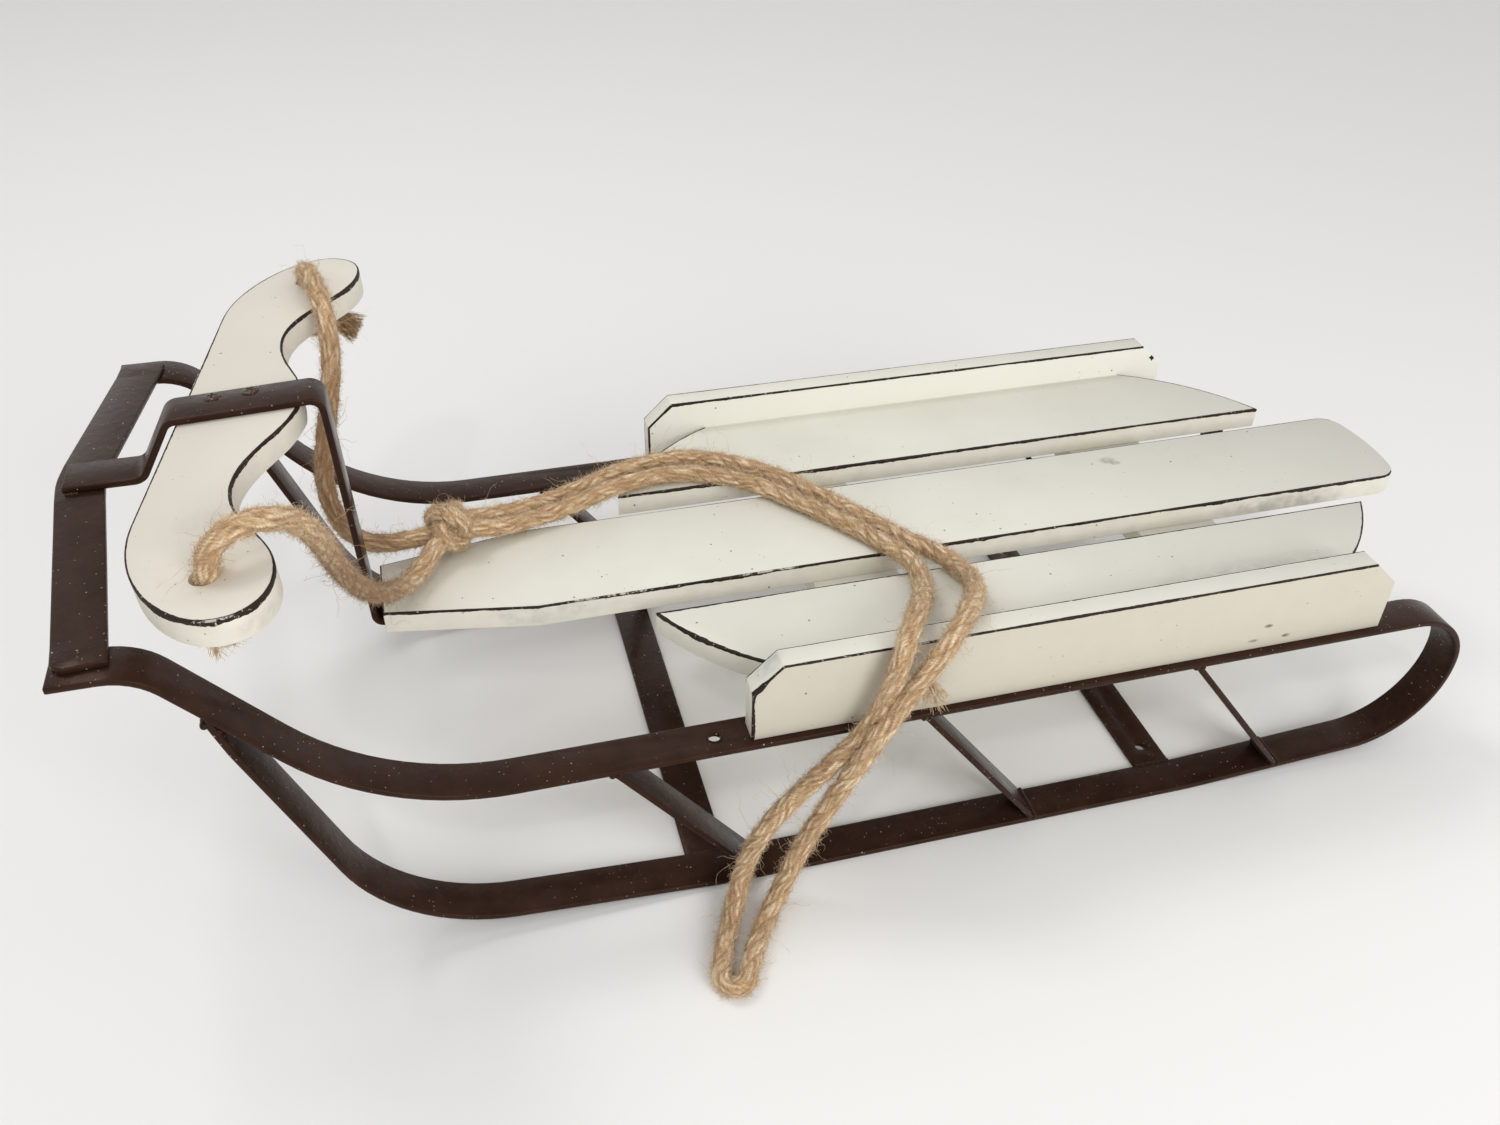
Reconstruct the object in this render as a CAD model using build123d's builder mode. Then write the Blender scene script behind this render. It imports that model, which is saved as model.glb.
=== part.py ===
# Wooden sled: white boards on a frame of bent flat strap, a steering bar under a strap hoop
# and a jute tow rope. Millimetres. +X is forward, +Y the rider's left, +Z up, and the origin
# is on the floor below the middle of the sled.

import os
from math import atan2, copysign, cos, hypot, pi, radians, sin, tan

from build123d import *

# Stock
strap_width = 20.0
strap_thickness = 3.0
board_thickness = 12.0
rope_diameter = 9.5

# Side loops: rail, rear turn, runner and front leg of one strap
rail_spacing = 230.0
rail_height = 92.5
rail_front_x = 329.5
rail_front_height = 188.0
rise_angle = 51.2
rise_foot_x = 221.9
rise_foot_radius = 112.0
rise_head_radius = 27.0
rear_x = -324.5
rear_upper_radius = 35.0
rear_lower_radius = 50.0
runner_rear_x = -179.5
runner_rear_lift = 8.5
runner_front_x = 70.5
runner_front_lift = 11.7
runner_bend_radius = 250.0
leg_foot_x = 228.5
leg_foot_radius = 83.0
leg_knee_x = 276.0
leg_knee_drop = 15.5
leg_knee_radius = 60.0
leg_tip_x = 280.5
weld_gap = 0.5
rail_hole_diameter = 6.0
rail_hole_x = 77.9

# Struts and cross straps
strut_top_x = {"front": 122.5, "middle": -24.0, "rear": -166.0}
strut_rake = 66.0
front_cross_x = 80.5
rear_cross_x = -168.0
cross_hole_diameter = 5.0
cross_hole_inset = 13.0

# Front bumper
bumper_x = 330.0
bumper_sweep_back = 12.5
bumper_overhang = 4.5
bumper_lift = 7.0
bumper_middle_half = 14.0
bumper_bend_radius = 25.0
bumper_nose_radius = 60.0
bumper_corner_radius = 6.0

# Boards
side_board_inset = 5.5
side_board_height = 41.5
side_board_front_x = 62.0
side_board_rear_x = -266.3
side_board_clip_length = 14.0
side_board_clip_height = 13.5
centre_slat_width = 64.4
centre_slat_front_width = 38.7
centre_slat_front_x = 216.5
centre_slat_taper_x = 144.4
centre_slat_rear_x = -340.5
centre_slat_rear_bow = 4.7
centre_slat_corner_radius = 12.0
slat_gap = 18.2
side_slat_front_x = 90.8
side_slat_rear_x = -299.7
side_slat_sweep = 62.3
side_slat_end_radius = 140.0
bearer_width = 45.0
bearer_x = {"front": -17.0, "rear": -200.5}

# Steering bar, in its own plane: forward and outward from its middle
bar_x = 258.5
bar_top_height = 225.1
bar_pitch = 2.5
bar_yaw = 8.2
bar_hole_spacing = 242.0
bar_hole_setback = 10.0
bar_hole_clearance = 0.5
bar_front = 24.5
bar_straight_half = 85.0
bar_curve = [
    (20.6, 108.5), (12.0, 126.5), (-2.8, 142.0), (-17.5, 146.8), (-30.0, 140.8), (-35.0, 122.0),
    (-30.4, 107.0), (-13.6, 81.0), (-8.4, 64.0), (-12.3, 40.0), (-18.0, 27.0), (-22.9, 14.5),
]
bar_rear_middle = -25.5
bar_rear_flatness = 0.35

# Hoop strap over the steering bar
hoop_root_x = 335.5
hoop_root_corner_x = 304.0
hoop_front_corner_x = 288.5
hoop_rear_corner_x = 223.2
hoop_leg_clearance = 3.2
hoop_lap = 28.0
hoop_bend_radius = 7.0
hoop_root_radius = 5.0
hoop_foot_radius = 3.0
hoop_bar_gap = 0.2

# Knots: half length, and the radii of the ends, the bulges and the grooves between them
tow_knot_centre = (180.1, -26.1, 130.1)
tow_knot_heading = 194.0
tow_knot_size = {"half": 13.5, "end": 6.5, "outer_bulge": 12.5, "groove": 10.5, "bulge": 13.5}
stop_knot_size = {"half": 9.0, "end": 6.5, "outer_bulge": 9.5, "groove": 8.0, "bulge": 10.0}

# Rope routes, chosen point by point
left_lead_points = [
    (265.2, 121.2, 210.8), (266.0, 121.2, 232.0), (253.5, 119.2, 243.0), (235.5, 109.0, 238.5),
    (228.5, 89.0, 213.0), (226.0, 66.0, 178.0), (218.0, 40.0, 143.0), (203.0, 10.0, 123.0),
    (186.5, -15.5, 127.5),
]
right_lead_points = [
    (230.8, -118.4, 212.3), (231.8, -118.4, 234.5), (227.0, -95.5, 237.5), (222.5, -77.0, 231.0),
    (222.5, -67.0, 210.0), (228.0, -60.0, 186.0), (235.0, -50.0, 165.0), (236.5, -41.0, 148.0),
    (231.0, -29.0, 134.5), (217.5, -21.5, 127.0), (191.0, -22.8, 127.8),
]
tow_loop_points = [
    (169.5, -24.5, 127.0), (149.0, -30.0, 121.8), (118.0, -39.5, 121.8), (86.0, -55.5, 122.0),
    (52.0, -59.0, 121.8), (22.0, -43.0, 121.6), (-2.0, -14.0, 121.6), (-26.0, 19.5, 121.6),
    (-41.5, 49.5, 121.8), (-36.0, 75.0, 125.0), (-25.0, 97.0, 136.0), (-14.0, 115.0, 143.8),
    (-4.0, 130.0, 139.0), (0.5, 132.3, 120.0), (9.0, 131.5, 97.0), (31.0, 131.5, 74.0),
    (53.0, 132.0, 52.0), (66.0, 132.5, 29.0), (71.5, 137.0, 11.5), (79.0, 150.0, 4.9),
    (87.0, 166.5, 4.9), (92.3, 183.2, 4.9), (81.2, 187.6, 4.9), (73.5, 170.5, 4.9),
    (61.5, 152.0, 4.9), (49.0, 138.5, 12.0), (41.0, 136.5, 31.0), (31.0, 137.5, 54.0),
    (18.0, 139.0, 80.0), (5.0, 139.0, 104.0), (-10.0, 134.8, 122.0), (-26.0, 129.8, 139.5),
    (-40.0, 115.0, 143.5), (-53.0, 95.0, 133.5), (-62.5, 73.0, 124.5), (-59.0, 50.5, 122.0),
    (-42.0, 28.5, 122.0), (-18.0, -11.0, 122.0), (9.0, -49.0, 122.0), (45.0, -74.0, 122.0),
    (83.0, -69.5, 122.0), (114.0, -53.0, 122.0), (142.5, -42.3, 122.0), (169.0, -34.5, 127.0),
]
end_run_share = 0.45


def heading(start, end):
    """Direction of the run from one point to the next, in radians."""
    return atan2(end[1] - start[1], end[0] - start[0])


def shifted(points, distance):
    """The same route of straight runs, moved to its left by a distance, with mitred corners."""
    headings = [heading(start, end) for start, end in zip(points, points[1:])]
    moved = []
    for (x, z), before, after in zip(points, headings[:1] + headings, headings + headings[-1:]):
        half_turn = ((after - before + pi) % (2 * pi) - pi) / 2
        reach = distance / cos(half_turn)
        moved.append((x - reach * sin(before + half_turn), z + reach * cos(before + half_turn)))
    return moved


def shifted_radii(points, radii, distance):
    """Bend radii of the moved route: smaller where it turns left, larger where it turns right."""
    moved = []
    for start, corner, end, radius in zip(points, points[1:], points[2:], radii):
        turn = (heading(corner, end) - heading(start, corner) + pi) % (2 * pi) - pi
        moved.append(radius - copysign(distance, turn))
    return moved


def bent_strap(plane, points, radii, thickness, width):
    """A flat strap bent along a route: its one face follows the points, the other lies to their left."""
    with BuildPart() as strap:
        with BuildSketch(plane):
            with BuildLine():
                face_line = FilletPolyline(*points, radius=radii)
                back_radii = shifted_radii(points, radii, thickness)
                back_line = FilletPolyline(*shifted(points, thickness), radius=back_radii)
                Line(face_line @ 0, back_line @ 0)
                Line(face_line @ 1, back_line @ 1)
            make_face()
        extrude(amount=width / 2, both=True)
    return strap.part


def save(builder, name):
    """Labels a finished piece and writes its STEP file."""
    builder.part.label = name
    export_step(builder.part, f"parts/{name}.step")


os.makedirs("parts", exist_ok=True)
sides = {"left": 1, "right": -1}
rail_half_spacing = rail_spacing / 2
rise_slope = tan(radians(rise_angle))


def rise_height(x):
    """Height of the rail's top face on its straight rise to the front."""
    return rail_height + (x - rise_foot_x) * rise_slope


def runner_top(x):
    """Height of the runner's upper face, where the struts stand."""
    rear_length = runner_rear_x - rear_x
    if x > runner_rear_x:
        return strap_thickness
    rear_slope = runner_rear_lift / rear_length
    return strap_thickness * hypot(1, rear_slope) + (runner_rear_x - x) * rear_slope


# Side loops
rise_depth = strap_thickness / cos(radians(rise_angle))
leg_tip_height = rise_height(leg_tip_x - strap_thickness) - rise_depth - 2 * weld_gap
loop_points = [
    (rail_front_x, rail_front_height),
    (rise_foot_x + (rail_front_height - rail_height) / rise_slope, rail_front_height),
    (rise_foot_x, rail_height),
    (rear_x, rail_height),
    (rear_x, runner_rear_lift),
    (runner_rear_x, 0.0),
    (runner_front_x, 0.0),
    (leg_foot_x, runner_front_lift),
    (leg_knee_x, leg_tip_height - leg_knee_drop),
    (leg_tip_x, leg_tip_height),
]
loop_radii = [
    rise_head_radius, rise_foot_radius, rear_upper_radius, rear_lower_radius,
    runner_bend_radius, runner_bend_radius, leg_foot_radius, leg_knee_radius,
]
leg_tip_back = shifted(loop_points, strap_thickness)[-1]
for side, sign in sides.items():
    rail_plane = Plane.XZ.offset(-sign * rail_half_spacing)
    with BuildPart() as loop:
        add(bent_strap(rail_plane, loop_points, loop_radii, strap_thickness, strap_width))
        # the weld that fills the wedge between the leg's tip and the rail
        with BuildSketch(rail_plane):
            with BuildLine():
                Polyline(
                    loop_points[-1],
                    leg_tip_back,
                    (leg_tip_back[0], rise_height(leg_tip_back[0]) - rise_depth / 2),
                    (leg_tip_x, rise_height(leg_tip_x) - rise_depth / 2),
                    close=True,
                )
            make_face()
        extrude(amount=strap_width / 2, both=True)
        with BuildSketch(Plane.XY.offset(rail_height)):
            with Locations((rail_hole_x, sign * rail_half_spacing)):
                Circle(rail_hole_diameter / 2)
        extrude(amount=-strap_thickness, mode=Mode.SUBTRACT)
    save(loop, f"{side}_runner_loop")

# Struts, raked straps between runner and rail
rail_underside = rail_height - strap_thickness
strut_rise = rail_underside - strap_thickness
strut_cut_length = strap_thickness * hypot(strut_rise, strut_rake) / strut_rise
for side, sign in sides.items():
    for place, top_x in strut_top_x.items():
        foot_x = top_x - strut_rake
        with BuildPart() as strut:
            with BuildSketch(Plane.XZ.offset(-sign * rail_half_spacing)):
                with BuildLine():
                    Polyline(
                        (top_x, rail_underside),
                        (top_x + strut_cut_length, rail_underside),
                        (foot_x + strut_cut_length, runner_top(foot_x + strut_cut_length)),
                        (foot_x, runner_top(foot_x)),
                        close=True,
                    )
                make_face()
            extrude(amount=strap_width / 2, both=True)
        save(strut, f"{side}_strut_{place}")

# Cross straps, butted between the two runners
cross_length = rail_spacing - strap_width
with BuildPart() as front_cross_strap:
    with BuildSketch():
        with Locations((front_cross_x, 0)):
            Rectangle(strap_width, cross_length)
    extrude(amount=strap_thickness)
save(front_cross_strap, "front_cross_strap")

with BuildPart() as rear_cross_strap:
    with BuildSketch():
        with Locations((rear_cross_x, 0)):
            Rectangle(strap_width, cross_length)
            with GridLocations(0, cross_length - 2 * cross_hole_inset, 1, 2):
                Circle(cross_hole_diameter / 2, mode=Mode.SUBTRACT)
    extrude(amount=strap_thickness)
save(rear_cross_strap, "rear_cross_strap")

# Front bumper: a shallow V in plan that also rises towards its middle
bumper_half = rail_half_spacing + bumper_overhang
bumper_end_x = bumper_x - bumper_sweep_back
bumper_flat_half = rail_half_spacing - strap_width / 2
bumper_middle_height = rail_front_height + bumper_lift
bumper_profile = [
    (-bumper_half, rail_front_height),
    (-bumper_flat_half, rail_front_height),
    (-bumper_middle_half, bumper_middle_height),
    (bumper_middle_half, bumper_middle_height),
    (bumper_flat_half, rail_front_height),
    (bumper_half, rail_front_height),
]
bumper_plan = [
    (bumper_end_x + strap_width / 2, -bumper_half),
    (bumper_x + strap_width / 2, 0.0),
    (bumper_end_x + strap_width / 2, bumper_half),
]
with BuildPart() as front_bumper:
    add(bent_strap(Plane.YZ, bumper_profile, [bumper_bend_radius] * 4, strap_thickness, 4 * bumper_x))
    with BuildSketch() as plan:
        with BuildLine():
            front_edge = FilletPolyline(*bumper_plan, radius=bumper_nose_radius)
            back_edge = FilletPolyline(
                *shifted(bumper_plan, strap_width),
                radius=shifted_radii(bumper_plan, [bumper_nose_radius], strap_width),
            )
            Line(front_edge @ 0, back_edge @ 0)
            Line(front_edge @ 1, back_edge @ 1)
        make_face()
        ends = plan.vertices().group_by(Axis.Y)
        fillet(ends[0] + ends[-1], bumper_corner_radius)
    extrude(amount=2 * rail_front_height, mode=Mode.INTERSECT)
save(front_bumper, "front_bumper")

# Hoop: from the bumper's middle over the steering bar and down to under the centre slat
slat_underside = rail_height + board_thickness
deck_height = slat_underside + board_thickness
hoop_root_height = bumper_middle_height + 2 * strap_thickness


def hoop_crown_height(x):
    """Height of the hoop's top face, parallel to the pitched steering bar below it."""
    return bar_top_height + strap_thickness + hoop_bar_gap - (x - bar_x) * tan(radians(bar_pitch))


hoop_points = [
    (hoop_root_x, hoop_root_height),
    (hoop_root_corner_x, hoop_root_height),
    (hoop_front_corner_x, hoop_crown_height(hoop_front_corner_x)),
    (hoop_rear_corner_x, hoop_crown_height(hoop_rear_corner_x)),
    (centre_slat_front_x + hoop_leg_clearance, slat_underside),
    (centre_slat_front_x + hoop_leg_clearance - hoop_lap, slat_underside),
]
hoop_radii = [hoop_root_radius, hoop_bend_radius, hoop_bend_radius, hoop_foot_radius]
with BuildPart() as hoop_strap:
    add(bent_strap(Plane.XZ, hoop_points, hoop_radii, strap_thickness, strap_width))
save(hoop_strap, "hoop_strap")

# Steering bar, cut in its own plane: local X forward, local Y to the left
bar_plane = Plane(
    origin=(bar_x, 0, bar_top_height),
    x_dir=Vector(1, 0, 0).rotate(Axis.Z, -bar_yaw),
    z_dir=Vector(sin(radians(bar_pitch)), 0, cos(radians(bar_pitch))),
)
with BuildPart() as steering_bar:
    with BuildSketch(bar_plane):
        with BuildLine():
            front = Line((bar_front, 0), (bar_front, bar_straight_half))
            Spline(
                front @ 1, *bar_curve, (bar_rear_middle, 0),
                tangents=[(0, 1), (0, -1)], tangent_scalars=[1.0, bar_rear_flatness],
            )
            mirror(about=Plane.XZ)
        make_face()
    extrude(amount=-board_thickness)
    with BuildSketch(bar_plane):
        with Locations((-bar_hole_setback, 0)):
            with GridLocations(0, bar_hole_spacing, 1, 2):
                Circle((rope_diameter + 2 * bar_hole_clearance) / 2)
    extrude(amount=-board_thickness, mode=Mode.SUBTRACT)
save(steering_bar, "steering_bar")

# Centre slat
centre_half = centre_slat_width / 2
front_half = centre_slat_front_width / 2
rear_corner_x = centre_slat_rear_x + centre_slat_rear_bow
with BuildPart() as centre_slat:
    with BuildSketch(Plane.XY.offset(slat_underside)) as slat_plan:
        with BuildLine():
            edge = Polyline(
                (rear_corner_x, centre_half),
                (centre_slat_taper_x, centre_half),
                (centre_slat_front_x, front_half),
                (centre_slat_front_x, -front_half),
                (centre_slat_taper_x, -centre_half),
                (rear_corner_x, -centre_half),
            )
            ThreePointArc(edge @ 0, (centre_slat_rear_x, 0), edge @ 1)
        make_face()
        fillet(slat_plan.vertices().group_by(Axis.X)[0], centre_slat_corner_radius)
    extrude(amount=board_thickness)
save(centre_slat, "centre_slat")

# Side slats, with convex ends, and the boards that stand on edge outside them
slat_inner = centre_half + slat_gap
side_board_inner = rail_half_spacing - side_board_inset
for side, sign in sides.items():
    with BuildPart() as side_slat:
        with BuildSketch(Plane.XY.offset(slat_underside)):
            with BuildLine():
                inner = Line((side_slat_rear_x, sign * slat_inner), (side_slat_front_x, sign * slat_inner))
                outer = Line(
                    (side_slat_rear_x + side_slat_sweep, sign * side_board_inner),
                    (side_slat_front_x - side_slat_sweep, sign * side_board_inner),
                )
                RadiusArc(inner @ 1, outer @ 1, -sign * side_slat_end_radius)
                RadiusArc(inner @ 0, outer @ 0, sign * side_slat_end_radius)
            make_face()
        extrude(amount=board_thickness)
    save(side_slat, f"{side}_slat")

    side_board_middle = side_board_inner + board_thickness / 2
    with BuildPart() as side_board:
        with BuildSketch(Plane.XZ.offset(-sign * side_board_middle)):
            with BuildLine():
                Polyline(
                    (side_board_front_x, rail_height),
                    (side_board_front_x, rail_height + side_board_height - side_board_clip_height),
                    (side_board_front_x - side_board_clip_length, rail_height + side_board_height),
                    (side_board_rear_x + side_board_clip_length, rail_height + side_board_height),
                    (side_board_rear_x, rail_height + side_board_height - side_board_clip_height),
                    (side_board_rear_x, rail_height),
                    close=True,
                )
            make_face()
        extrude(amount=board_thickness / 2, both=True)
    save(side_board, f"{side}_side_board")

# Bearers, battens across the rails under the slats
for place, middle_x in bearer_x.items():
    with BuildPart() as bearer:
        with BuildSketch(Plane.XY.offset(rail_height)):
            with Locations((middle_x, 0)):
                Rectangle(bearer_width, 2 * side_board_inner)
        extrude(amount=board_thickness)
    save(bearer, f"{place}_bearer")


def corner_turn(start, corner, end):
    """Angle that the route turns at a point, in radians."""
    return radians((Vector(corner) - Vector(start)).get_angle(Vector(end) - Vector(corner)))


def rope(points, name):
    """A rope tube: straight runs joined by arcs as large as the two runs at a corner allow."""
    radii = []
    for start, corner, end in zip(points, points[1:], points[2:]):
        shorter = min((Vector(corner) - Vector(start)).length, (Vector(end) - Vector(corner)).length)
        radii.append(end_run_share * shorter / tan(corner_turn(start, corner, end) / 2))
    with BuildPart() as tube:
        with BuildLine():
            route = FilletPolyline(*points, radius=radii)
        with BuildSketch(Plane(origin=route @ 0, z_dir=route % 0)):
            Circle(rope_diameter / 2)
        sweep()
    expected = pi * (rope_diameter / 2) ** 2 * route.length
    print(name, "length", round(route.length, 1), "volume ratio", round(tube.part.volume / expected, 4))
    print(name, "radii", [round(radius, 1) for radius in radii])
    save(tube, name)


def knot(plane, size, name):
    """A knot as three bulging turns of rope about the plane's X axis."""
    half = size["half"]
    pitch = half / 3
    outline = [
        (-half, 0.0),
        (-half, size["end"]),
        (-2 * pitch, size["outer_bulge"]),
        (-pitch, size["groove"]),
        (0.0, size["bulge"]),
        (pitch, size["groove"]),
        (2 * pitch, size["outer_bulge"]),
        (half, size["end"]),
        (half, 0.0),
    ]
    with BuildPart() as turns:
        with BuildSketch(plane):
            with BuildLine():
                Polyline(*outline, close=True)
            make_face()
        revolve(axis=Axis(plane.origin, plane.x_dir))
    save(turns, name)


# Rope, its tow knot and the stop knots below the steering bar
rope(left_lead_points, "left_lead")
rope(right_lead_points, "right_lead")
rope(tow_loop_points, "tow_loop")
knot_axis = Vector(1, 0, 0).rotate(Axis.Z, tow_knot_heading)
knot(Plane(origin=tow_knot_centre, x_dir=knot_axis, z_dir=(0, 0, 1)), tow_knot_size, "tow_knot")
for side, sign in sides.items():
    depth = board_thickness + stop_knot_size["half"]
    centre = bar_plane.from_local_coords(Vector(-bar_hole_setback, sign * bar_hole_spacing / 2, -depth))
    knot_plane = Plane(origin=centre, x_dir=bar_plane.z_dir, z_dir=bar_plane.x_dir)
    knot(knot_plane, stop_knot_size, f"{side}_stop_knot")
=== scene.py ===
import math

import bmesh
import bpy
from mathutils import Matrix, Vector, noise


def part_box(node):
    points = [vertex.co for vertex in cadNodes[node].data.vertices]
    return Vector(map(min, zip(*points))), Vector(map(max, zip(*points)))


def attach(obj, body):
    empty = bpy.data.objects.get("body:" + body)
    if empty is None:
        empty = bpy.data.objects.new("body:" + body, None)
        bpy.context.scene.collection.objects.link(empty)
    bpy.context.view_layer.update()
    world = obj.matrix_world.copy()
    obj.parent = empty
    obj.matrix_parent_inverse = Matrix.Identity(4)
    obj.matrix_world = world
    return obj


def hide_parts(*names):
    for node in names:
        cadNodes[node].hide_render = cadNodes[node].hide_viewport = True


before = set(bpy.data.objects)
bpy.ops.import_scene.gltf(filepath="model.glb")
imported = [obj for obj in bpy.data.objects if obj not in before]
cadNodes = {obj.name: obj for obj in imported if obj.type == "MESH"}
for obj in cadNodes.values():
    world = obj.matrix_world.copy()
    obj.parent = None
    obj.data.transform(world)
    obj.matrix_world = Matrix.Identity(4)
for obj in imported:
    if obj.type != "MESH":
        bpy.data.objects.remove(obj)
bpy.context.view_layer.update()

mm = 0.001
collection = bpy.context.scene.collection


# Small helpers

def hexColour(code):
    # sRGB hex to the linear colour that the shaders take
    parts = [int(code[i:i + 2], 16) / 255 for i in (1, 3, 5)]
    return [c / 12.92 if c <= 0.04045 else ((c + 0.055) / 1.055) ** 2.4 for c in parts] + [1.0]


def addNode(tree, kind, inputs=None, **settings):
    # inputs hold plain values, hex colours or sockets to link, by name or by number
    node = tree.nodes.new(kind)
    for name, value in settings.items():
        setattr(node, name, value)
    for key, value in (inputs or {}).items():
        if isinstance(value, bpy.types.NodeSocket):
            tree.links.new(value, node.inputs[key])
        elif isinstance(value, str) and value.startswith("#"):
            node.inputs[key].default_value = hexColour(value)
        else:
            node.inputs[key].default_value = value
    return node


def result(tree, kind, inputs=None, **settings):
    # adds a node of which only the first output is used
    return addNode(tree, kind, inputs, **settings).outputs[0]


def mathNode(tree, operation, *values):
    return result(tree, "ShaderNodeMath", dict(enumerate(values)), operation=operation)


def plus(tree, first, second):
    return mathNode(tree, "ADD", first, second)


def minus(tree, first, second):
    return mathNode(tree, "SUBTRACT", first, second)


def times(tree, first, second):
    return mathNode(tree, "MULTIPLY", first, second)


def timesPlus(tree, value, factor, rest):
    return mathNode(tree, "MULTIPLY_ADD", value, factor, rest)


def larger(tree, first, second):
    return mathNode(tree, "MAXIMUM", first, second)


def vectorNode(tree, operation, *values):
    return result(tree, "ShaderNodeVectorMath", dict(enumerate(values)), operation=operation)


def joined(tree, x=0.0, y=0.0, z=0.0):
    return result(tree, "ShaderNodeCombineXYZ", {"X": x, "Y": y, "Z": z})


def parted(tree, vector):
    return addNode(tree, "ShaderNodeSeparateXYZ", {"Vector": vector}).outputs


def addPiece(name, mesh, replaced=()):
    piece = bpy.data.objects.new(name, mesh)
    collection.objects.link(piece)
    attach(piece, "root")
    if replaced:
        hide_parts(*replaced)
    return piece


def meshFrom(name, vertices, faces=(), edges=()):
    mesh = bpy.data.meshes.new(name)
    mesh.from_pydata([tuple(v) for v in vertices], list(edges), list(faces))
    return mesh


def lineMesh(name, points):
    # a bare polyline, which a Geometry Nodes tree then follows
    return meshFrom(name, points, edges=[(i, i + 1) for i in range(len(points) - 1)])


def camelName(node):
    first, *others = node.split("_")
    return first + "".join(word.title() for word in others)


def turnFromUp(direction):
    return Vector((0, 0, 1)).rotation_difference(Vector(direction).normalized()).to_matrix()


# Camera, solved from the photograph

camera = {
    "place": (0.1757, 0.52045, 0.5083),
    "right": (-0.96561653, 0.25965278, 0.01285116),
    "down": (0.14708708, 0.58642224, -0.79653898),
    "forward": (-0.21435977, -0.76726097, -0.60445058),
    "lens": 30.92, "sensor": 36.0, "nearest": 0.01, "farthest": 50.0,
}


def setCamera():
    data = bpy.data.cameras.new("camera")
    data.lens = camera["lens"]
    data.sensor_width = camera["sensor"]
    data.clip_start = camera["nearest"]
    data.clip_end = camera["farthest"]
    viewer = bpy.data.objects.new("camera", data)
    collection.objects.link(viewer)
    right, down, forward = (Vector(camera[key]) for key in ("right", "down", "forward"))
    turn = Matrix((right, -down, -forward)).transposed()
    viewer.matrix_world = Matrix.Translation(camera["place"]) @ turn.to_4x4()
    bpy.context.scene.camera = viewer


# Materials

def startMaterial(name):
    material = bpy.data.materials.new(name)
    material.use_nodes = True
    tree = material.node_tree
    tree.nodes.clear()
    place = addNode(tree, "ShaderNodeTexCoord").outputs["Object"]
    return material, tree, place


def endMaterial(material, inputs, bumpHeight=None, bumpDistance=0.0):
    tree = material.node_tree
    surface = addNode(tree, "ShaderNodeBsdfPrincipled", inputs)
    if bumpHeight is not None:
        bump = result(tree, "ShaderNodeBump", {
            "Height": bumpHeight, "Distance": bumpDistance, "Strength": 1.0})
        tree.links.new(bump, surface.inputs["Normal"])
    addNode(tree, "ShaderNodeOutputMaterial", {"Surface": surface.outputs["BSDF"]})
    return material


def attribute(tree, name, output="Fac"):
    return addNode(tree, "ShaderNodeAttribute", attribute_name=name).outputs[output]


def noiseField(tree, place, size, detail=3.0, rough=0.55):
    # size is the width of one blotch, in metres
    return addNode(tree, "ShaderNodeTexNoise", {
        "Vector": place, "Scale": 1 / size, "Detail": detail, "Roughness": rough,
    }).outputs["Fac"]


def limits(tree, value, low, high, fromValue=0.0, toValue=1.0):
    return addNode(tree, "ShaderNodeMapRange", {
        "Value": value, "From Min": low, "From Max": high, "To Min": fromValue, "To Max": toValue,
    }).outputs["Result"]


def patches(tree, place, size, low, high, detail=3.0, rough=0.55):
    # blotches: the noise below the low value is out, above the high value it is fully in
    return limits(tree, noiseField(tree, place, size, detail, rough), low, high)


def nearTo(tree, place, middle, reach, core, strength=1.0):
    # full strength within the core, a share of the reach, and nothing beyond the reach
    away = addNode(tree, "ShaderNodeVectorMath", {0: place, 1: middle}, operation="DISTANCE")
    return limits(tree, away.outputs["Value"], reach, core * reach, 0.0, strength)


def blend(tree, share, first, second):
    return addNode(tree, "ShaderNodeMix", {0: share, 6: first, 7: second}, data_type="RGBA").outputs[2]


def specks(tree, place, cell, share, size):
    # scattered dots: a few of the cells of a Voronoi pattern get a dot of this radius
    cells = addNode(tree, "ShaderNodeTexVoronoi", {"Vector": place, "Scale": 1 / cell}).outputs
    lot = result(tree, "ShaderNodeSeparateColor", {"Color": cells["Color"]})
    dot = limits(tree, cells["Distance"], size / cell, 0.7 * size / cell)
    return times(tree, limits(tree, lot, 1 - share, 1 - share + 0.01), dot)


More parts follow.
